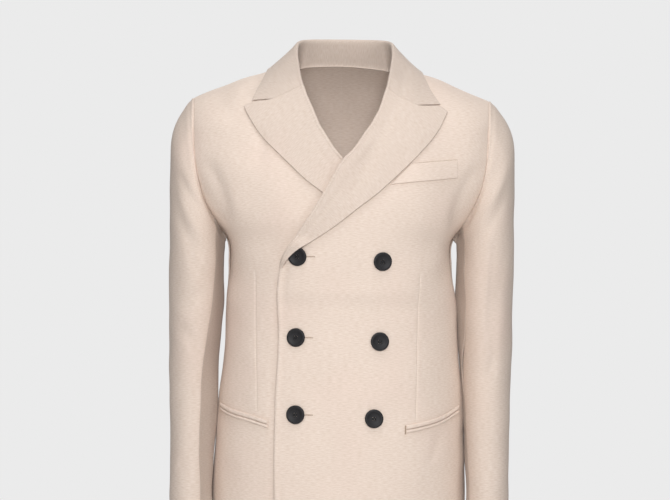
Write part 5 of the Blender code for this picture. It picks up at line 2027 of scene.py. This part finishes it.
@dataclass
class Studio:
    """The pale floor, the soft lights and the camera."""

    camera_place: tuple = (-0.0070, -3.0, -0.277)
    camera_roll: float = -0.65
    lens: float = 107.7
    floor_z: float = -1.40
    floor_radius: float = 3.2
    backdrop: str = "EBEBEB"
    fill_colour: tuple = (1.0, 0.96, 0.92, 1.0)
    fill: float = 0.14
    lit_place: tuple = (0.0, 0.0, -0.30)
    lights: tuple = (
        ("key", (0.02, -3.2, 0.50), 1.1, 60.0),
        ("top", (0.0, -0.7, 2.1), 1.4, 26.0),
        ("left", (2.0, -2.1, 0.4), 0.8, 10.0),
        ("right", (-2.3, -1.8, 0.4), 1.2, 8.0),
        ("back", (0.0, 3.0, 1.5), 1.8, 45.0),
    )

    def lay_floor(self) -> None:
        """A round of background paper under the blazer."""
        shape = bmesh.new()
        bmesh.ops.create_circle(
            shape, cap_ends=True, segments=96, radius=self.floor_radius,
            matrix=Matrix.Translation((0, 0, self.floor_z)),
        )
        link_piece("floor", to_mesh("floor", shape), PaperFloor().make())

    def light(self, name: str, place: tuple, size: float, power: float) -> None:
        """A soft square light that faces the chest."""
        lamp = bpy.data.lights.new(name, "AREA")
        lamp.size, lamp.energy = size, power
        item = add_object(name, lamp)
        item.location = place
        aim = Vector(self.lit_place) - Vector(place)
        item.rotation_euler = aim.to_track_quat("-Z", "Y").to_euler()

    def set_sky(self) -> None:
        """An even pale backdrop that also fills the shadows."""
        world = bpy.data.worlds.new("studio")
        world.use_nodes = True
        tree = world.node_tree
        tree.nodes.clear()
        fill, shown = (
            add_node(tree, "ShaderNodeBackground", {"Color": colour, "Strength": strength})
            for colour, strength in (
                (self.fill_colour, self.fill), (linear(self.backdrop), 1.0),
            )
        )
        seen = add_node(tree, "ShaderNodeLightPath").outputs["Is Camera Ray"]
        mixed = add_node(tree, "ShaderNodeMixShader", {0: seen, 1: fill, 2: shown})
        add_node(tree, "ShaderNodeOutputWorld", {"Surface": mixed})
        bpy.context.scene.world = world

    def build(self) -> None:
        """Set the camera, floor and lights."""
        camera = bpy.data.cameras.new("camera")
        camera.sensor_width, camera.lens = 36.0, self.lens
        item = add_object("camera", camera)
        item.location = self.camera_place
        item.rotation_euler = (math.radians(90), math.radians(self.camera_roll), 0.0)
        bpy.context.scene.camera = item
        self.lay_floor()
        self.set_sky()
        for light in self.lights:
            self.light(*light)
        bpy.context.scene.view_settings.view_transform = "Standard"


def main() -> None:
    """Build the blazer and its studio."""
    logging.basicConfig(level=logging.INFO, format="%(name)s: %(message)s")
    Studio().build()
    # The sleeves, under sleeves, lapels and collar take darker copies of the one cloth: painted
    # shade.
    crepe, arm_crepe_shaded, under_crepe_shaded, lapel_crepe_shaded, collar_crepe_shaded = (
        WoolCrepe(piece, tone).make() for piece, tone in CLOTH_TONES
    )
    for side, shift in zip(Side, SLEEVE_SHIFTS):
        FRONTS[side].build(crepe)
        Back(side).build(crepe)
        Sleeve(side, shift).build(arm_crepe_shaded, under_crepe_shaded)
        HipPocket(side).build(crepe)
    for side, contour in zip(Side, (OVER_LAPEL_EDGE, UNDER_LAPEL_EDGE)):
        Lapel(side, contour=contour).build(lapel_crepe_shaded)
    Collar(Side.LEFT).build(collar_crepe_shaded)
    Welt().build(crepe)
    dark_thread = SewingThread("polyester_thread_charcoal", "0C0B0C", "060606").make()
    Buttons().build(PolishedResin().make(), dark_thread)
    Sewing().build(SewingThread("polyester_thread_beige", "BFA995", "A58E79").make())


if __name__ == "__main__":
    main()
